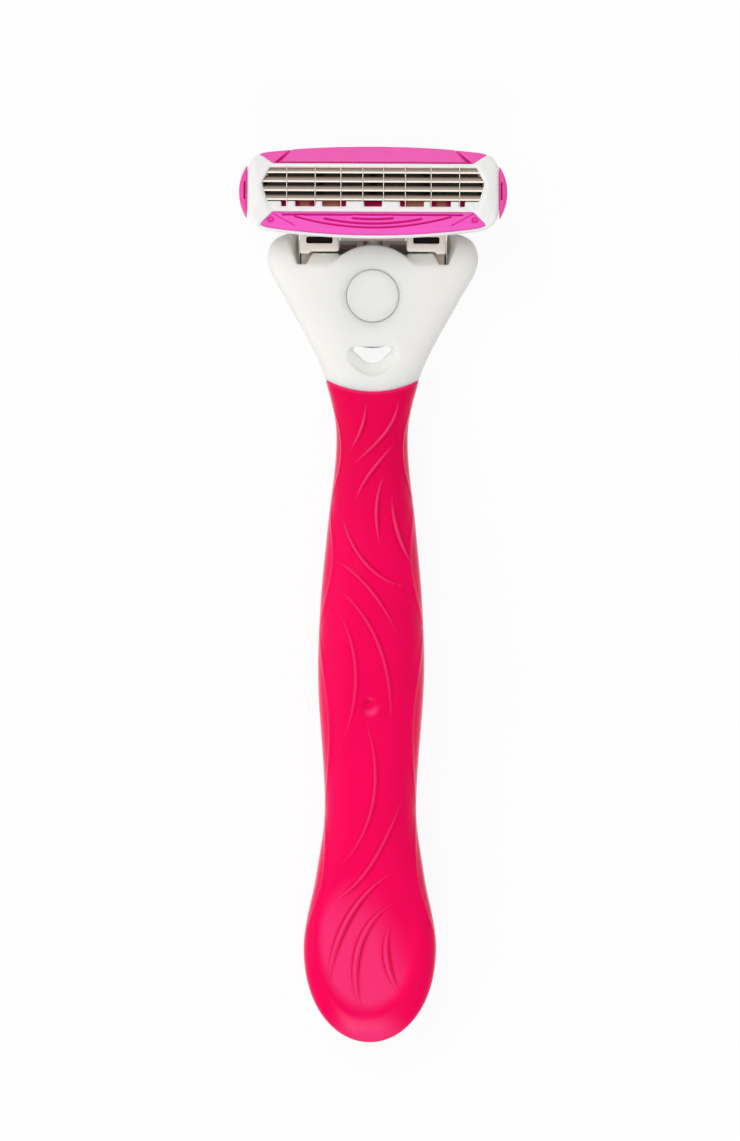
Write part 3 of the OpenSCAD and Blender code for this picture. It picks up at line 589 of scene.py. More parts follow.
# Flowing ridges of the grip, each an even curve close by places on its front.
# The first ones are mirrored on its back.
GRIP_RIDGES = [
    [(-1.0, -13.9), (-1.7, -17.3), (-3.2, -20.5)],
    [(4.1, -13.2), (2.9, -16.7), (0.6, -19.8), (-2.5, -22.7)],
    [(3.2, -20.1), (0.0, -24.1), (-1.7, -26.8), (-2.4, -28.6)],
    [(1.7, -25.6), (1.0, -27.8), (0.7, -30.1), (0.75, -32.4), (1.2, -35.6)],
    [(3.2, -28.6), (3.7, -32.8), (4.7, -35.9), (6.6, -39.5)],
    [(-4.5, -32.1), (-3.3, -35.3), (-1.55, -38.3), (0.9, -40.8), (3.4, -42.0), (5.4, -42.6)],
    [(-5.6, -38.5), (-3.0, -40.5), (-0.6, -42.6), (1.5, -45.5), (2.9, -47.9), (3.9, -49.6)],
    [(-5.4, -43.0), (-2.5, -45.8), (-0.2, -49.1), (1.6, -53.1), (2.7, -57.6), (3.0, -61.4),
     (3.2, -63.9)],
    [(-4.9, -47.3), (-3.4, -50.9), (-2.5, -55.0), (-2.5, -58.8), (-2.9, -62.1), (-4.0, -66.2)],
    [(-0.7, -64.4), (0.4, -69.6), (0.8, -74.0), (0.1, -78.4), (-1.6, -82.7), (-4.3, -86.8)],
    [(4.8, -77.1), (3.4, -80.8), (1.1, -85.1), (-1.6, -89.2), (-3.6, -91.4), (-5.8, -92.7)],
    [(3.1, -88.5), (-0.6, -91.5), (-3.3, -95.2), (-5.3, -99.6), (-6.6, -105.7)],
    [(3.0, -93.5), (0.4, -95.9), (-1.2, -98.6), (-2.3, -102.0), (-2.3, -105.3), (-1.6, -109.7)],
    [(3.1, -96.9), (2.5, -101.3), (3.1, -104.3), (4.5, -107.2)],
]
RIDGES_BEHIND = 12
# Ridges along the sides: start, end and how far each bulges to the front and back, in radians
SIDE_RIDGES = ((-13.5, -29, 0.45), (-29.5, -49, 0.5), (-49.5, -78, 0.5), (-79, -99, 0.4))
DIMPLE_X, DIMPLE_Y = -0.2, -61.8
# Mesh of the grip: columns around it, rows along its stem, bulb and tail
GRIP_COLUMNS = 172
STEM_ROWS, BULB_ROWS, TAIL_ROWS = 271, 129, 30
TAIL_ROUND = -110.5
# Rolled edge at the seam: distance of its rows, width and depth
ROLL_STEP, ROLL_WIDTH, ROLL_DEPTH = 0.276, 0.5, 0.12


def flowing_line(corners, count):
    """Points along one even curve that runs close by the corners."""
    corners = np.array(corners)
    run = np.append(0, np.cumsum(np.linalg.norm(np.diff(corners, axis=0), axis=1)))
    curve = np.polyfit(run, corners, min(3, len(corners) - 1))
    return np.vander(np.linspace(0, run[-1], count), len(curve)) @ curve


def ridge_relief(x, y, lines, width):
    """Height of the flowing ridges, a painted highlight along their crests and painted shade at their feet,
    each from 0 to 1: one steep flank and thin ends.
    """
    steep, gentle = 0.4, 0.6
    relief, crest, crease = np.zeros((3, *x.shape))
    for corners in lines:
        line = flowing_line(corners, 96)
        run = np.gradient(line, axis=0)
        run /= np.linalg.norm(run, axis=1, keepdims=True)
        low, high = line.min(0) - 3, line.max(0) + 3
        close = (x > low[0]) & (x < high[0]) & (y > low[1]) & (y < high[1])
        px, py = x[close][:, None] - line[:, 0], y[close][:, None] - line[:, 1]
        i = (px * px + py * py).argmin(1)
        row = np.arange(len(i))
        off = run[i, 0] * py[row, i] - run[i, 1] * px[row, i]
        lens = np.sin(np.pi * np.clip(i, 1, len(line) - 2) / (len(line) - 1)) ** 0.45
        # A ridge ends where its line ends
        beyond = np.abs(run[i, 0] * px[row, i] + run[i, 1] * py[row, i])
        lens = lens * rise(beyond, 0.6, 0.2)
        # Wider in the bulb, where the mesh is coarser
        breadth = width * np.maximum(lens, 0.5) * (1 + 0.35 * rise(y[close], -84, -98))
        share = off / breadth / np.where(off > 0, gentle, steep)
        hump = np.cos(np.clip(share, -1, 1) * np.pi / 2) ** 2
        relief[close] = np.maximum(relief[close], lens * hump)
        crest[close] = np.maximum(crest[close], lens * np.exp(-((share + 0.1) / 0.38) ** 2))
        foot = np.exp(-np.where(off > 0, (share - 0.95) / 0.38, (share + 1.1) / 0.45) ** 2)
        crease[close] = np.maximum(crease[close], lens * foot)
    return np.stack([relief, crest, crease * (1 - crest)])


def side_relief(y, angle):
    """Height, from 0 to 1, of the long lens-shaped ridges along both sides."""
    relief = 0
    for start, end, bulge in SIDE_RIDGES:
        t = np.clip((start - y) / (start - end), 0, 1)
        line = 0.2 + bulge * np.sin(np.pi * t)
        for middle in (0, np.pi):
            turn = np.abs((angle - middle + np.pi) % (2 * np.pi) - np.pi)
            hump = np.exp(-((turn - line) / 0.075) ** 2)
            relief = np.maximum(relief, np.sin(np.pi * t) ** 0.6 * hump)
    return relief


def tail_fall(y, depth):
    """How far the front of the bulb falls towards the tail: slowly at first, then evenly."""
    slow, reach = 12, 17
    run = np.maximum(BULB_TOP - y, 0)
    return depth * run * run / (run + slow) / reach


def thumb_rest(x, y):
    """Depth of the hollow in the bulb, from 0 to 1: open to the head, with a round step before the tail."""
    ring = np.hypot((x + 0.4) / 8.4, np.minimum(y + 99.8, 0) / 12.1)
    return rise(ring, 1.02, 0.76) * rise(y, -88, -104)


def pale_light_marks(x, y):
    """How far the thumb rest, the tail and the lower lip of the dimple are painted pale as a painted
    highlight, from 0 to 1.
    """
    ring = np.hypot((x + 0.5) / 7.9, (y + 99.2) / 11.6)
    rest = 0.55 * rise(ring, 1.04, 0.84) * rise(y, -86, -99) * rise(x + 0.5 * (y + 100), 7.5, -0.5)
    tail = 0.6 * rise(y, -110.5, -114.5) * rise(np.abs(x), 8, 2)
    return np.maximum(np.maximum(rest, tail), 0.9 * dimple_arc(x, y, 1))


def dimple_arc(x, y, side):
    """A crescent in the dimple, from 0 to 1: at its lower right for side 1, painted pale as a highlight, and
    at its upper left for side -1, painted dark as shade.
    """
    px, py = x - DIMPLE_X, y - DIMPLE_Y
    rad = np.hypot(px, py)
    turn = side * (0.45 * px - 0.89 * py) / np.maximum(rad, 0.1)
    return np.exp(-((rad - 0.95) / 0.42) ** 2) * np.clip(turn, 0, 1) ** 1.5


def grip_columns(count):
    """Angles of the grip's columns, evenly spaced along its front and wider apart behind."""
    turn = np.linspace(0, 2 * np.pi, 4001)
    c, s = np.cos(turn), np.sin(turn)
    x, z = 8.5 * np.sign(c) * np.abs(c) ** 0.84, 6.3 * np.sign(s) * np.abs(s) ** 0.84
    step = np.hypot(np.diff(x), np.diff(z)) * np.where(s[1:] > -0.3, 1, 0.4)
    run = np.concatenate([[0], np.cumsum(step)])
    return np.interp(np.arange(count) / count * run[-1], run, turn)


def grip_rows():
    """Places of the grip's rows from the seam to the tail, closer together in the bulb."""
    stem = np.linspace(SEAM_Y, BULB_TOP, STEM_ROWS)
    bulb = np.linspace(BULB_TOP, TAIL_ROUND, BULB_ROWS)[1:]
    tail = TAIL_ROUND + (TAIL_Y - TAIL_ROUND) * np.sin(np.linspace(0, np.pi / 2, TAIL_ROWS)[1:-1])
    return np.concatenate([stem, bulb, tail])[:, None]


def grip_shell(y, angle, fall_depth, dish_depth):
    """Points of the grip before its relief: a loft from the curved seam to the bulb with its thumb rest."""
    c, s = np.cos(angle)[None, :], np.sin(angle)[None, :]
    # The first rows follow the curve of the seam
    shift = np.clip((y + 17.5) / 6, 0, 1) ** 1.5
    place = y + 0 * c
    for _ in range(3):
        half, middle, thick, power = handle_section(place)
        x = half * np.sign(c) * np.abs(c) ** (2 / power)
        arc = BUTTON_Y - np.sqrt(SEAM_R ** 2 - np.minimum(x * x, 90)) - SEAM_Y
        place = y + shift * arc
    # The front of the bulb is flatter than its back
    power = power + 1.1 * rise(place, -82, -93) * (s > 0)
    gauge = np.minimum(np.abs(x) / half, 1) ** power
    fall = tail_fall(place, fall_depth) * thick / 6.2 * (s > 0)
    z = middle + (thick - fall) * np.sign(s) * (1 - gauge) ** (1 / power)
    z = z - dish_depth * thumb_rest(x, place) * (s > 0)
    return np.stack([x, place, z], axis=2)


def normals(points):
    """Outward directions on the grip."""
    along = np.gradient(points, axis=0)
    around = (np.roll(points, -1, axis=1) - np.roll(points, 1, axis=1)) / 2
    normal = np.cross(around, along)
    return normal / np.maximum(np.linalg.norm(normal, axis=2, keepdims=True), 1e-9)


def with_ends(values):
    """Values on the grip, with those of the ring inside the seam before them and the tip's behind."""
    return np.concatenate([np.zeros(values.shape[1]), values.ravel(), [0]])


def grip_faces(relief):
    """Faces of the grip, each split along the ridge that crosses it, with both ends closed."""
    rows, n = relief.shape
    ring = np.arange(n)
    after = (ring + 1) % n
    faces = np.concatenate([
        np.stack([r * n + ring, r * n + after, (r + 1) * n + after, (r + 1) * n + ring], 1)
        for r in range(rows)])
    height = with_ends(relief)[faces]
    along_first = np.abs(height[:, 0] - height[:, 2]) <= np.abs(height[:, 1] - height[:, 3])
    split = np.concatenate([faces[along_first][:, (2, 1, 0)], faces[along_first][:, (3, 2, 0)],
                            faces[~along_first][:, (3, 1, 0)], faces[~along_first][:, (3, 2, 1)]])
    last = rows * n
    fan = [(last + n, last + (k + 1) % n, last + k) for k in range(n)]
    return split.tolist() + fan + [tuple(ring)]


class RAZOR_OT_grip(bpy.types.Operator):
    """Lofts the soft grip with its ridges, dimple and thumb rest"""
    bl_idname = "razor.grip"
    bl_label = "Grip"

    def execute(self, context):
        sizes = context.scene.razor_sizes
        angle = grip_columns(GRIP_COLUMNS)
        points = grip_shell(grip_rows(), angle, sizes.tail_fall / MM, sizes.dish_depth / MM)
        x, y, z = np.moveaxis(points, 2, 0)
        normal = normals(points)
        faces_front = rise(normal[:, :, 2], 0.05, 0.35)
        faces_back = rise(-normal[:, :, 2], 0.05, 0.35)
        width = sizes.ridge_width / MM
        # The ridges are fainter along the middle of the grip
        faint = rise(y, -32, -42) * rise(y, -94, -86)
        relief, crest, crease = ridge_relief(x, y, GRIP_RIDGES, width) * faces_front * (1 - 0.4 * faint)
        mirrored = [[(-px, py) for px, py in line] for line in GRIP_RIDGES[:RIDGES_BEHIND]]
        relief += ridge_relief(x, y, mirrored, 1.6 * width)[0] * faces_back
        relief = np.maximum(relief, 0.7 * side_relief(y, angle[None, :]))
        lift = sizes.ridge_height / MM * relief
        dimple = np.clip(1 - (np.hypot(x - DIMPLE_X, y - DIMPLE_Y) / 1.6) ** 2, 0, 1)
        lift -= 0.34 * dimple ** 0.8 * faces_front
        roll = np.clip(1 - (np.arange(len(points))[:, None] * ROLL_STEP) / ROLL_WIDTH, 0, 1)
        lift = (lift + 0.08) * rise(z, 0.2, 2.5) - ROLL_DEPTH * roll ** 2
        points = points + normal * lift[:, :, None]
        inner = points[0] * [0.4, 1, 0.4] + [0, 0, 0.6 * points[0, :, 2].mean()]
        tip = np.array([[0, TAIL_Y, points[-1, :, 2].mean()]])
        piece = mesh_piece("grip", np.vstack([inner, points.reshape(-1, 3), tip]), grip_faces(relief),
                           [finish(context, "grip_sleeve_rubber")])
        # Painted shade darkens the upper left of the dimple and the narrow upper end; painted highlight makes
        # the left edge, the rolled seam, the thumb rest, the tail and the lower lip of the dimple pale.
        crease = np.maximum(crease, 0.7 * dimple_arc(x, y, -1) * faces_front)
        pale_edge = 0.5 * rise(normal[:, :, 2], 0.55, 0.15) * (normal[:, :, 0] < 0)
        painted_highlight = np.maximum(np.maximum(pale_light_marks(x, y), 0.6 * roll), pale_edge)
        crease = np.maximum(crease, 0.35 * rise(y, -38, -22) * (1 - crest) * (1 - roll))
        crest = np.maximum(crest, painted_highlight * faces_front * (1 - crease))
        mark(piece, "crest", with_ends(crest))
        mark(piece, "hollow", with_ends(crease))
        fit(piece, "handle", "grip_rubber", "grip_sleeve")
        return {"FINISHED"}


# Hanging hole: corners of its outline, their rounding, and its place along the neck
HOLE = [(-2.65, 0.8), (-1.0, -0.58), (-0.4, -0.82), (0.4, -0.82), (1.0, -0.58), (2.65, 0.8)]
HOLE_ROUND, HOLE_Y = 1.5, -6.55
DOME_R, BORE_R, BUTTON_R = 8.2, 4.21, 4.16
MOUTH_HALF = 11.9


def neck_field(edge):
    """The neck: flared body, mouth for the connector, dome, button bore and hanging hole."""
    def field(x, y, z):
        across = np.abs(x)
        half, middle, thick, power = handle_section(y)
        u, t = across / half, np.abs(z - middle) / thick
        gauge = np.maximum((u ** power + t ** power), 1e-6) ** (1 / power)
        slope = gauge ** (1 - power) * np.hypot(u ** (power - 1) / half, t ** (power - 1) / thick)
        body = (gauge - 1) / np.maximum(slope, 0.02)
        # Shallow recess round the button
        rad = np.hypot(x, y - BUTTON_Y)
        body = body + 0.24 * np.clip((5.5 - rad) / 1.25, 0, 1) * (z > 5)
        body = keep(body, -z, 0.8)
        body = keep(body, y - EAR_END, 2.2)
        body = keep(body, np.where(y < -4, rad - SEAM_R, -4), 0.2)
        # Mouth between the ears, behind a ramp and round the dome
        ramp = np.minimum((20.92 - 1.3 * z - y) / 1.64, 10.7 - y)
        wall = MOUTH_HALF + 2.1 * np.clip((y - 8.3) / 5.1, 0, 1) * np.clip((z - 4) / 5, 0, 1)
        mouth = keep(ramp, DOME_R - rad, 0.6)
        slit = np.maximum(np.maximum(10.65 - 0.53 * (y - 8.9) - across, 8.9 - y), 5.7 - z)
        mouth = join(mouth, slit, 0.3)
        mouth = keep(mouth, across - wall, 0.2)
        body = cut(body, mouth, edge)
        # Room for the prongs and the button
        wide = MOUTH_HALF - 6.3 * np.clip((4.2 - y) / 6, 0, 1)
        room = np.maximum(np.maximum(across - wide, -1.8 - y), z - 6.2)
        pocket = np.maximum(np.maximum(across - 5.4, -1.5 - y), z - 8.1)
        body = cut(cut(body, room, 0.15), pocket, 0.15)
        body = cut(body, np.maximum(rad - BORE_R, 6 - z), 0.12)
        # Hanging hole, with a funnel below its top wall, which leans back at both ends
        inset = np.clip((9.55 - z) / 0.75, 0, 1)
        lean = (0.038 - 0.03 * np.clip(1 - (x / 1.9) ** 2, 0, 1)) * np.clip(9.4 - z, 0, 10)
        return cut(body, outline(x, y - HOLE_Y - inset - lean, HOLE) - HOLE_ROUND + inset, 0.1)

    return field


class RAZOR_OT_neck(bpy.types.Operator):
    """Moulds the white neck"""
    bl_idname = "razor.neck"
    bl_label = "Neck"

    def execute(self, context):
        field = neck_field(context.scene.razor_sizes.edge_round / MM)
        piece = moulded("neck", field, (-17.2, -11.7, 0), (17.2, 14.3, 9.9), (0.27, 0.27, 0.27),
                        finish(context, "satin_shell"))
        fit(piece, "handle", "white_plastic", "neck_shell")
        dress(context, "back_cover", "satin_shell")
        return {"FINISHED"}


def button_legs(foot, material):
    """The two squeezing legs under the button."""
    def field(x, y, z):
        across = np.abs(x)
        leg = block((across, y, z), (2.25, BUTTON_Y - 1.0, foot), (3.65, BUTTON_Y + 1.0, 7.6), 0.25)
        return keep(leg, 0.84 * (3.1 - across) - 0.54 * (z - foot), 0.1)

    return moulded("button_legs", field, (-3.9, BUTTON_Y - 1.2, foot), (3.9, BUTTON_Y + 1.2, 7.6),
                   (0.2, 0.2, 0.2), material)


class RAZOR_OT_button(bpy.types.Operator):
    """Moulds the release button, with its flange, post and legs"""
    bl_idname = "razor.button"
    bl_label = "Release button"

    def execute(self, context):
        def field(x, y, z):
            rad = np.hypot(x, y - BUTTON_Y)
            top = 9.38 - 0.1 * np.exp(-(rad / 2.6) ** 2)
            cap = keep(np.maximum(rad - BUTTON_R, 7.35 - z), z - top, 0.16)
            flange = np.maximum(rad - 4.8, np.abs(z - 7.65) - 0.3)
            post = np.maximum(rad - 0.9, np.abs(z - 6.4) - 1.2)
            return join(cap, join(flange, post, 0.3), 0.1)

        material = finish(context, "satin_shell")
        piece = moulded("button_cap", field, (-4.9, BUTTON_Y - 4.9, 5.2), (4.9, BUTTON_Y + 4.9, 9.5),
                        (0.16, 0.16, 0.16), material)
        low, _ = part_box("release_button")
        legs = button_legs(low.z / MM, material)
        fit(legs, "button", "white_plastic")
        fit(piece, "button", "white_plastic", "release_button")
        return {"FINISHED"}


# Springs: solid, body, the joint that squeezes each, the direction, its seat, and the share that is left
SPRINGS = [
    ("button_spring", "handle", "button_press", (0, 0, 1), (0, BUTTON_Y, 1.6), 0.745),
    ("latch_spring", "handle", "button_press", (1, 0, 0), (0, BUTTON_Y, 1.6), 0.78),
    ("plunger_spring", "connector", "cartridge_pivot", (0, 1, 0), (0, 9.55, 5.6), 0.505),
]


def squeezed(node, material, body, joint, direction, seat, share):
    """A spring in its solid's shape."""
    piece = bpy.data.objects.new(node.replace("spring", "wire"), frame["nodes"][node].data.copy())
    bpy.context.scene.collection.objects.link(piece)
    piece.data.materials.clear()
    piece.data.materials.append(material)
    fit(piece, body, "spring_steel", node)
    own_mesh(piece)


class RAZOR_OT_connector(bpy.types.Operator):
    """Moulds the connector, and finishes its plunger and springs"""
    bl_idname = "razor.connector"
    bl_label = "Connector"

    def execute(self, context):
        def field(x, y, z):
            across = np.abs(x)
            place = (across, y, z)
            pivot = np.hypot(y - PIVOT_Y, z - PIVOT_Z)
            boss = keep(pivot - 1.3, np.abs(across - 8.55) - 3.15, 0.3)
            blocks = block(place, (5.4, 10.5, 1.9), (11.7, 15.0, 9.1), 0.45)
            foot = 11.0 - np.clip(across - 9.85, 0, 0.5)
            blocks = join(keep(blocks, foot - y, 0.5), boss, 0.3)
            blocks = cut(blocks, block(place, (6.45, 12.25, 3.5), (10.65, 13.35, 10), 0.3), 0.2)
            prongs = block(place, (8.8, 4.6, 1.9), (11.5, 11.6, 5.9), 0.25)
            prongs = cut(prongs, block(place, (8.2, 5.8, 1), (9.4, 7.0, 7), 0.1), 0.15)
            bridge = block(place, (-6, 11.45, 1.9), (6, 12.4, 3.5), 0.15)
            guide = block(place, (-2.6, 8.95, 1.9), (2.6, 13.2, 7.8), 0.3)
            guide = cut(guide, np.maximum(np.hypot(x, z - 5.6) - 1.55, 9.55 - y), 0.1)
            guide = cut(guide, np.maximum(np.maximum(across - 1.45, 11.5 - y), 5.6 - z), 0.1)
            pins = np.maximum(pivot - 0.9, np.abs(across - 4.6) - 0.9)
            return join(join(blocks, prongs, 0.3), join(join(bridge, guide, 0.4), pins, 0.15))

        def shaded_middle(x, y, z):
            """The guide and bridge between the blocks, painted brown as painted shade."""
            return 0.7 * rise(np.abs(x), 5.5, 5.1)

        piece = moulded("connector_body", field, (-11.9, 4.5, 1.8), (11.9, 16.4, 9.2), (0.17, 0.17, 0.17),
                        finish(context, "satin_mechanism"), hollow=shaded_middle)
        fit(piece, "connector", "white_plastic", "connector")
        # Painted shade: dark strips fill the slots of the blocks, where there is only shade.
        inserts = moulded("block_inserts", self.inserts, (-10.7, 12.1, 3.4), (10.7, 13.5, 8.3),
                          (0.25, 0.12, 0.25), finish(context, "support_strip"))
        fit(inserts, "connector", "base_plastic")
        dress(context, "return_plunger", "satin_mechanism")
        for node, *squeeze in SPRINGS:
            squeezed(node, finish(context, "spring_wire"), *squeeze)
        return {"FINISHED"}

    def inserts(self, x, y, z):
        """Dark strips deep in the slots of both blocks, put there as painted shade for the shade inside the
        slots.
        """
        return block((np.abs(x), y, z), (6.48, 12.28, 3.5), (10.62, 13.32, 8.2), 0.15)


class RAZOR_OT_cover_frame(bpy.types.Operator):
    """Moulds the white front frame of the cartridge, and finishes the base behind it"""
    bl_idname = "razor.cover_frame"
    bl_label = "Cover frame"

    def execute(self, context):
        def field(x, v, w):
            edge = face_outline(x, v, w)
            window, rinse = window_area(x, v), rinse_area(x, v)
            cap, guard = cap_area(x, v), guard_area(x, v)
            inner = np.abs(x) - 18.0 + 0.35 * np.abs(v - 0.5)
            sides = np.minimum(crown(x, 2.244, 96), crown(v, 0.5, 40))
            front = 0.2 + (sides - 0.2) * rise(inner, -0.5, 0.4)
            front = np.where(guard < 0, -0.35, front)
            plate = keep(keep(edge, w - front, 0.7), -2.4 - w, 0.3)
            plate = cut(plate, keep(cap, -1.6 - w), 0.15)
            plate = cut(plate, keep(keep(guard, edge + 0.5), -1.6 - w), 0.12)
            return cut(plate, join(window, rinse), 0.15)

        piece = moulded("front_frame", field, (-20.2, -8.3, -2.4), (20.2, 8.3, 0.6), (0.26, 0.15, 0.15),
                        finish(context, "satin_frame"), on_face)
        fit(piece, "cartridge", "white_plastic", "cover_frame")
        # The dark tray stands in for the shade in the gaps behind the blades.
        dress(context, "cartridge_base", "base_plastic")
        return {"FINISHED"}


class RAZOR_OT_cap(bpy.types.Operator):
    """Moulds the cap carrier and its lubricating strip"""
    bl_idname = "razor.cap"
    bl_label = "Cap"

    def execute(self, context):
        def carrier(x, v, w):
            edge = keep(face_outline(x, v) + 0.02, cap_area(x, v) + 0.05, 0.1)
            body = keep(keep(edge, w - crown(v - 2.5, 0.15, 14), 0.35), -1.55 - w)
            return cut(body, np.maximum(strip_area(x, v) - 0.02, -1.0 - w), 0.15)

        def strip(x, v, w):
            edge = keep(face_outline(x, v) + 0.02, strip_area(x, v) + 0.14, 0.1)
            body = keep(edge, w - crown(v - 2.5, 0.25, 14), 0.3)
            return keep(body, np.maximum(-0.97 - w, facet(x, v, w)))

        def facet(x, v, w):
            """The sloping facets at both ends of the strip."""
            return strip_end(x, v) + 0.55 + 0.7 * w

        def hollow(x, v, w):
            """1 on the facets, which are painted deeper as painted shade."""
            return rise(facet(x, v, w), -0.15, -0.03)

        low, high = (-18.4, 4.6, -1.7), (18.4, 8.3, 0.4)
        piece = moulded("cap_holder", carrier, low, high, (0.2, 0.12, 0.12),
                        finish(context, "carrier_plastic"), on_face)
        fit(piece, "cartridge", "trim_plastic", "cap_carrier")
        piece = moulded("strip", strip, low, high, (0.25, 0.1, 0.1),
                        finish(context, "strip_coating"), on_face, hollow)
        fit(piece, "cartridge", "lubricating_strip", "lubricating_strip")
        return {"FINISHED"}


# Grooves of the guard: lowest place, bend, half span, half width
GUARD_GROOVES = ((-4.17, 0.0, 14.5, 0.16), (-4.93, 0.0168, 3.4, 0.18), (-5.72, 0.0145, 7.9, 0.19),
                 (-6.35, 0.0121, 12.6, 0.15))


class RAZOR_OT_guard(bpy.types.Operator):
    """Moulds the soft guard with its curved fins, and finishes the wires"""
    bl_idname = "razor.guard"
    bl_label = "Guard"

    def execute(self, context):
        depth = context.scene.razor_sizes.groove_depth / MM

        def fins(x, v):
            """Depth of the grooves and height of the fins beside them, both from 0 to 1."""
            across = np.abs(x)
            groove, fin = 0, 0
            for low, bend, span, half in GUARD_GROOVES:
                off = v - low - bend * x * x
                ends = rise(span - across, -0.1, 0.3)
                groove = np.maximum(groove, ends * np.exp(-(off / half) ** 4))
                if bend:
                    fin = np.maximum(fin, ends * np.exp(-((off - half - 0.2) / 0.16) ** 2))
            # A slanted line and a ring at each end
            run = rise(across, 12.2, 12.6) * rise(-across, -16.1, -15.9)
            slant = (v + 3.98) * 0.863 - (across - 15.92) * 0.505
            groove = np.maximum(groove, 0.6 * run * np.exp(-(slant / 0.09) ** 2))
            ring = np.exp(-((np.hypot(across - 16.25, v + 4.95) - 0.36) / 0.2) ** 2)
            return np.maximum(groove, 0.75 * ring), fin

        def field(x, v, w):
            crease = -6.5 + 0.00195 * x * x
            top = 0.03 - 0.32 * np.maximum(crease - v, 0)
            groove, fin = fins(x, v)
            top = top - depth * groove + 0.3 * depth * fin * (1 - groove)
            edge = keep(guard_area(x, v) + 0.04, face_outline(x, v, w) + 0.54, 0.2)
            return keep(keep(edge, (w - top) * 0.75, 0.3), -1.56 - w)

        def hollow(x, v, w):
            """How deep a place lies in the grooves, where the material paints a deeper tone as painted shade.
            """
            return fins(x, v)[0] * rise(w, -0.9, -0.4)

        piece = moulded("guard", field, (-18.4, -8.0, -1.7), (18.4, -3.5, 0.4), (0.16, 0.075, 0.09),
                        finish(context, "guard_elastomer"), on_face, hollow)
        fit(piece, "cartridge", "guard_rubber", "guard_pad")
        lining = moulded("rinse_lining", self.lining, (-15.6, -3.0, -1.8), (15.6, -0.9, -1.2),
                         (0.25, 0.12, 0.12), finish(context, "rinse_lining"), on_face, self.bare)
        fit(lining, "cartridge", "guard_rubber")
        dress(context, "guard_wires", "spring_wire", bevel=False)
        return {"FINISHED"}

    def lining(self, x, v, w):
        """The rubber of the guard that runs behind the rinse windows, in a darker tone than the guard as
        painted shade.
        """
        return block((x, v, w), (-15.5, -2.95, -1.75), (15.5, -0.95, -1.25), 0.1)

    def bare(self, x, v, w):
        """1 where the lining is bare of rubber, beside the blades' posts."""
        across = np.abs(x)
        near, far = np.abs(across - 6.9), np.abs(across - 10.9)
        return np.maximum(rise(near, 1.7, 1.4), rise(far, 0.9, 0.6))


class RAZOR_OT_end_pads(bpy.types.Operator):
    """Moulds the two crescents at the sides of the frame"""
    bl_idname = "razor.end_pads"
    bl_label = "End pads"

    def execute(self, context):
        for side, node in ((-1, "end_pad_left"), (1, "end_pad_right")):
            def field(x, v, w):
                out = side * x
                edge = keep(np.hypot(out - 13.13, v - 0.15) - 8.27, 20.12 - out, 0.1)
                pad = keep(keep(edge, w + 0.02, 0.6), -2.0 - w, 0.4)
                slot = block((out, v, w), (20.38, -1.5, -1.2), (20.64, 1.7, 1), 0.08)
                return cut(pad, slot, 0.08)

            low = (20.0, -4.5, -2.1) if side > 0 else (-21.5, -4.5, -2.1)
            high = (21.5, 4.8, 0.1) if side > 0 else (-20.0, 4.8, 0.1)
            piece = moulded(node.replace("end_pad", "side_crescent"), field, low, high, (0.08, 0.12, 0.08),
                            finish(context, "end_pad_elastomer"), on_face)
            fit(piece, "cartridge", "guard_rubber", node)
        return {"FINISHED"}


# Section of a blade: way back from its edge and height. Then how dark each place is with shade.
BLADE_SECTION = [(0, 0), (0.3, 0.05), (0.68, 0.05), (1.22, 0.05), (1.22, -0.05), (0.3, -0.05)]
BLADE_SHADE = [0, 0, 0.12, 0.85, 1, 1]
BLADE_HALF, BLADE_SPANS = 18, 48
FIRST_EDGE, BLADE_PITCH = 3.0, 1.56


class RAZOR_OT_blades(bpy.types.Operator):
    """Cuts the four blades, each with a ground flat and a honed edge, and finishes their supports"""
    bl_idname = "razor.blades"
    bl_label = "Blades"

    def execute(self, context):
        n = len(BLADE_SECTION)
        for k in range(1, 5):
            edge = FIRST_EDGE - BLADE_PITCH * (k - 1)
            points = [(x, edge + a * FACE_C + t * FACE_S, t * FACE_C - a * FACE_S)
                      for x in np.linspace(-BLADE_HALF, BLADE_HALF, BLADE_SPANS + 1)
                      for a, t in BLADE_SECTION]
            faces, honed = [], []
            for i in range(BLADE_SPANS):
                for j in range(n):
                    m = (j + 1) % n
                    faces.append((i * n + j, i * n + m, i * n + n + m, i * n + n + j))
                    honed.append(1 if j in (0, n - 1) else 0)
            faces += [tuple(reversed(range(n))), tuple(BLADE_SPANS * n + j for j in range(n))]
            honed += [0, 0]
            piece = mesh_piece(f"blade_strip_{k}", on_face(np.array(points)), faces,
                               [finish(context, "blade_flat"), finish(context, "blade_edge")], honed)
            piece.data.shade_flat()
            # The uppermost blade lies in less shade
            mark(piece, "hollow", np.tile(BLADE_SHADE, BLADE_SPANS + 1) * (0.6 if k == 1 else 1))
            fit(piece, "cartridge", "blade_steel", f"blade_{k}")
            dress(context, f"blade_support_{k}", "support_strip", bevel=False)
        return {"FINISHED"}


# Lamps: place and size in metres, and power as a share of the stage's key power
LAMPS = [
    ("head_softbox", (-0.34, 0.62, 0.82), 0.5, 1.35),
    ("tail_softbox", (-0.1, -0.85, 0.7), 0.24, 1.4),
    ("left_fill", (-0.9, 0.05, 0.36), 1.0, 0.9),
]
LAMP_AIM = (0, -0.03, 0.005)
FLOOR_HALF, FLOOR_Z = 1500, -0.06
# Camera: width of its view at a height near the razor's front, the view's middle, its turn and its sensor
VIEW_WIDTH, VIEW_HEIGHT = 118.4, 9
VIEW_X, VIEW_Y, VIEW_TURN = -0.24, -40.08, 0.25
SENSOR = 36


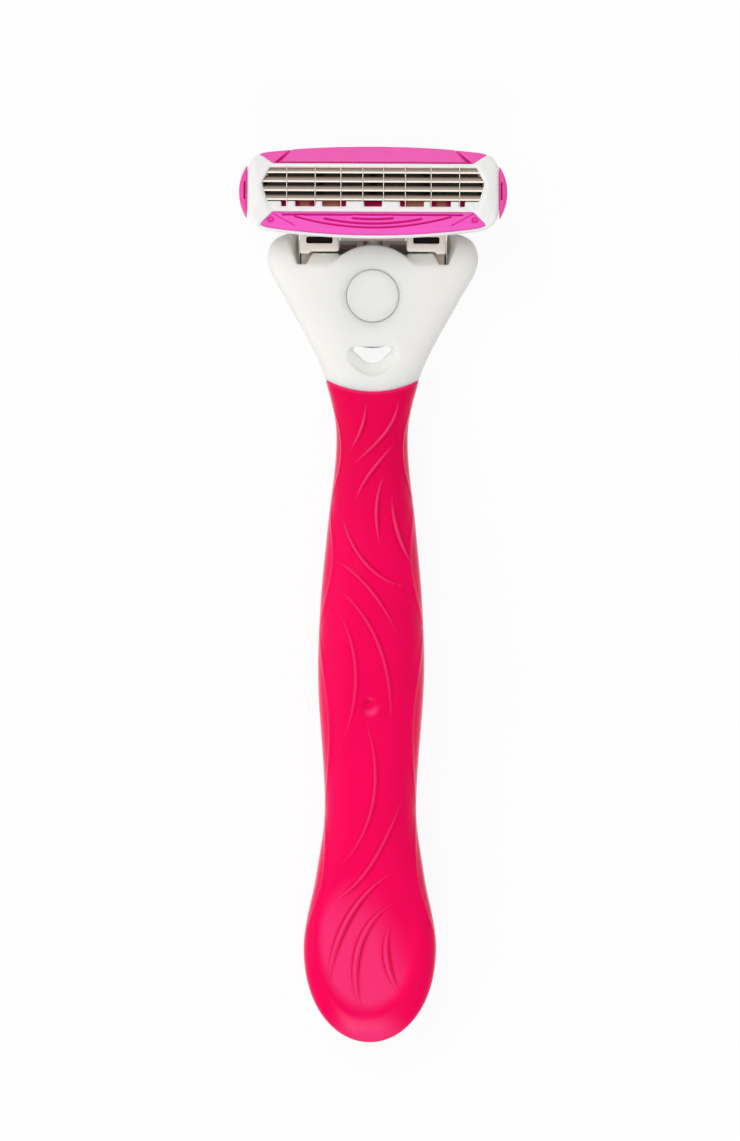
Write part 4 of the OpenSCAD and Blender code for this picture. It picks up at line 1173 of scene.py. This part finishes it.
class RAZOR_OT_stage(bpy.types.Operator):
    """Sets the floor, the soft light and the camera"""
    bl_idname = "razor.stage"
    bl_label = "Stage"

    def execute(self, context):
        scene, stage = context.scene, context.scene.razor_stage
        scene.view_settings.view_transform = "Standard"
        corners = [(FLOOR_HALF * i, FLOOR_HALF * j, FLOOR_Z) for i, j in ((-1, -1), (1, -1), (1, 1), (-1, 1))]
        floor = mesh_piece("floor", corners, [(0, 1, 2, 3)], [self.floor_finish(stage)])
        self.sky(scene, stage)
        for name, place, size, share in LAMPS:
            self.lamp(name, place, size, share * stage.key)
        camera = bpy.data.cameras.new("camera")
        camera.sensor_fit = "HORIZONTAL"
        camera.sensor_width = SENSOR
        camera.lens = SENSOR * (stage.camera_height / MM - VIEW_HEIGHT) / VIEW_WIDTH
        camera.clip_start = 0.01
        view = bpy.data.objects.new("camera", camera)
        view.location = (VIEW_X * MM, VIEW_Y * MM, stage.camera_height)
        view.rotation_euler = (0, 0, math.radians(VIEW_TURN))
        scene.collection.objects.link(view)
        scene.camera = view
        return {"FINISHED"}

    def seen_rays(self, tree):
        """1 for rays that look at the background, from the camera or by way of gloss or glass."""
        path = add(tree, "ShaderNodeLightPath").outputs
        seen = path["Is Camera Ray"]
        for kind in ("Is Glossy Ray", "Is Transmission Ray"):
            seen = add(tree, "ShaderNodeMath", [(seen, 0), (path[kind], 1)], operation="MAXIMUM").outputs[0]
        return seen

    def floor_finish(self, stage):
        """A white floor that keeps a share of the shadow."""
        material, tree, shader = nodes_of("studio_floor")
        put(shader, Base_Color=(0.94, 0.94, 0.94, 1), Roughness=1, Specular_IOR_Level=0)
        glow = add(tree, "ShaderNodeEmission", Strength=1.0)
        share = add(tree, "ShaderNodeMath", [(self.seen_rays(tree), 0)], operation="MULTIPLY")
        share.inputs[1].default_value = 1 - stage.shadow
        mixed = add(tree, "ShaderNodeMixShader", [(share.outputs[0], "Fac"), (shader.outputs[0], 1),
                                                  (glow.outputs[0], 2)])
        tree.links.new(mixed.outputs[0], tree.nodes["Material Output"].inputs["Surface"])
        return material

    def sky(self, scene, stage):
        """Even light that is stronger overhead, before a white background."""
        world = bpy.data.worlds.new("studio")
        world.use_nodes = True
        scene.world = world
        tree = world.node_tree
        even = tree.nodes["Background"]
        put(even, Color=(1, 1, 1, 1))
        place = add(tree, "ShaderNodeTexCoord").outputs["Generated"]
        up = add(tree, "ShaderNodeSeparateXYZ", [(place, "Vector")]).outputs["Z"]
        level = add(tree, "ShaderNodeMapRange", [(up, "Value")],
                    **{"To Min": stage.horizon, "To Max": stage.sky})
        tree.links.new(level.outputs["Result"], even.inputs["Strength"])
        white = add(tree, "ShaderNodeBackground", Strength=1.0, Color=(1, 1, 1, 1))
        mixed = add(tree, "ShaderNodeMixShader", [(self.seen_rays(tree), "Fac"), (even.outputs[0], 1),
                                                  (white.outputs[0], 2)])
        tree.links.new(mixed.outputs[0], tree.nodes["World Output"].inputs["Surface"])

    def lamp(self, name, place, size, power):
        """A round soft lamp that is aimed at the razor."""
        light = bpy.data.lights.new(name, "AREA")
        light.shape = "DISK"
        light.size = size
        light.energy = power
        lamp = bpy.data.objects.new(name, light)
        lamp.location = place
        aim = Vector(LAMP_AIM) - lamp.location
        lamp.rotation_euler = aim.to_track_quat("-Z", "Y").to_euler()
        bpy.context.scene.collection.objects.link(lamp)


class RAZOR_PT_pieces(bpy.types.Panel):
    """Lists the razor's pieces, colours and sizes"""
    bl_idname = "RAZOR_PT_pieces"
    bl_label = "Cartridge Razor"
    bl_space_type = "VIEW_3D"
    bl_region_type = "UI"
    bl_category = "Razor"

    def draw(self, context):
        layout = self.layout
        for operator in OPERATORS:
            layout.operator(operator.bl_idname)
        for group in (context.scene.razor_colours, context.scene.razor_sizes, context.scene.razor_stage):
            box = layout.box()
            for name in group.bl_rna.properties.keys():
                if name not in ("rna_type", "name"):
                    box.prop(group, name)


OPERATORS = (RAZOR_OT_grip, RAZOR_OT_neck, RAZOR_OT_button, RAZOR_OT_connector, RAZOR_OT_cover_frame,
             RAZOR_OT_cap, RAZOR_OT_guard, RAZOR_OT_end_pads, RAZOR_OT_blades, RAZOR_OT_stage)
GROUPS = {"razor_colours": RazorColours, "razor_sizes": RazorSizes, "razor_stage": RazorStage}


def register():
    for group in GROUPS.values():
        bpy.utils.register_class(group)
    for name, group in GROUPS.items():
        setattr(bpy.types.Scene, name, bpy.props.PointerProperty(type=group))
    for cls in OPERATORS + (RAZOR_PT_pieces,):
        bpy.utils.register_class(cls)


def unregister():
    for cls in reversed(OPERATORS + (RAZOR_PT_pieces,)):
        bpy.utils.unregister_class(cls)
    for name, group in GROUPS.items():
        delattr(bpy.types.Scene, name)
        bpy.utils.unregister_class(group)


def main():
    register()
    bpy.ops.razor.grip()
    bpy.ops.razor.neck()
    bpy.ops.razor.button()
    bpy.ops.razor.connector()
    bpy.ops.razor.cover_frame()
    bpy.ops.razor.cap()
    bpy.ops.razor.guard()
    bpy.ops.razor.end_pads()
    bpy.ops.razor.blades()
    bpy.ops.razor.stage()


if __name__ == "__main__":
    main()
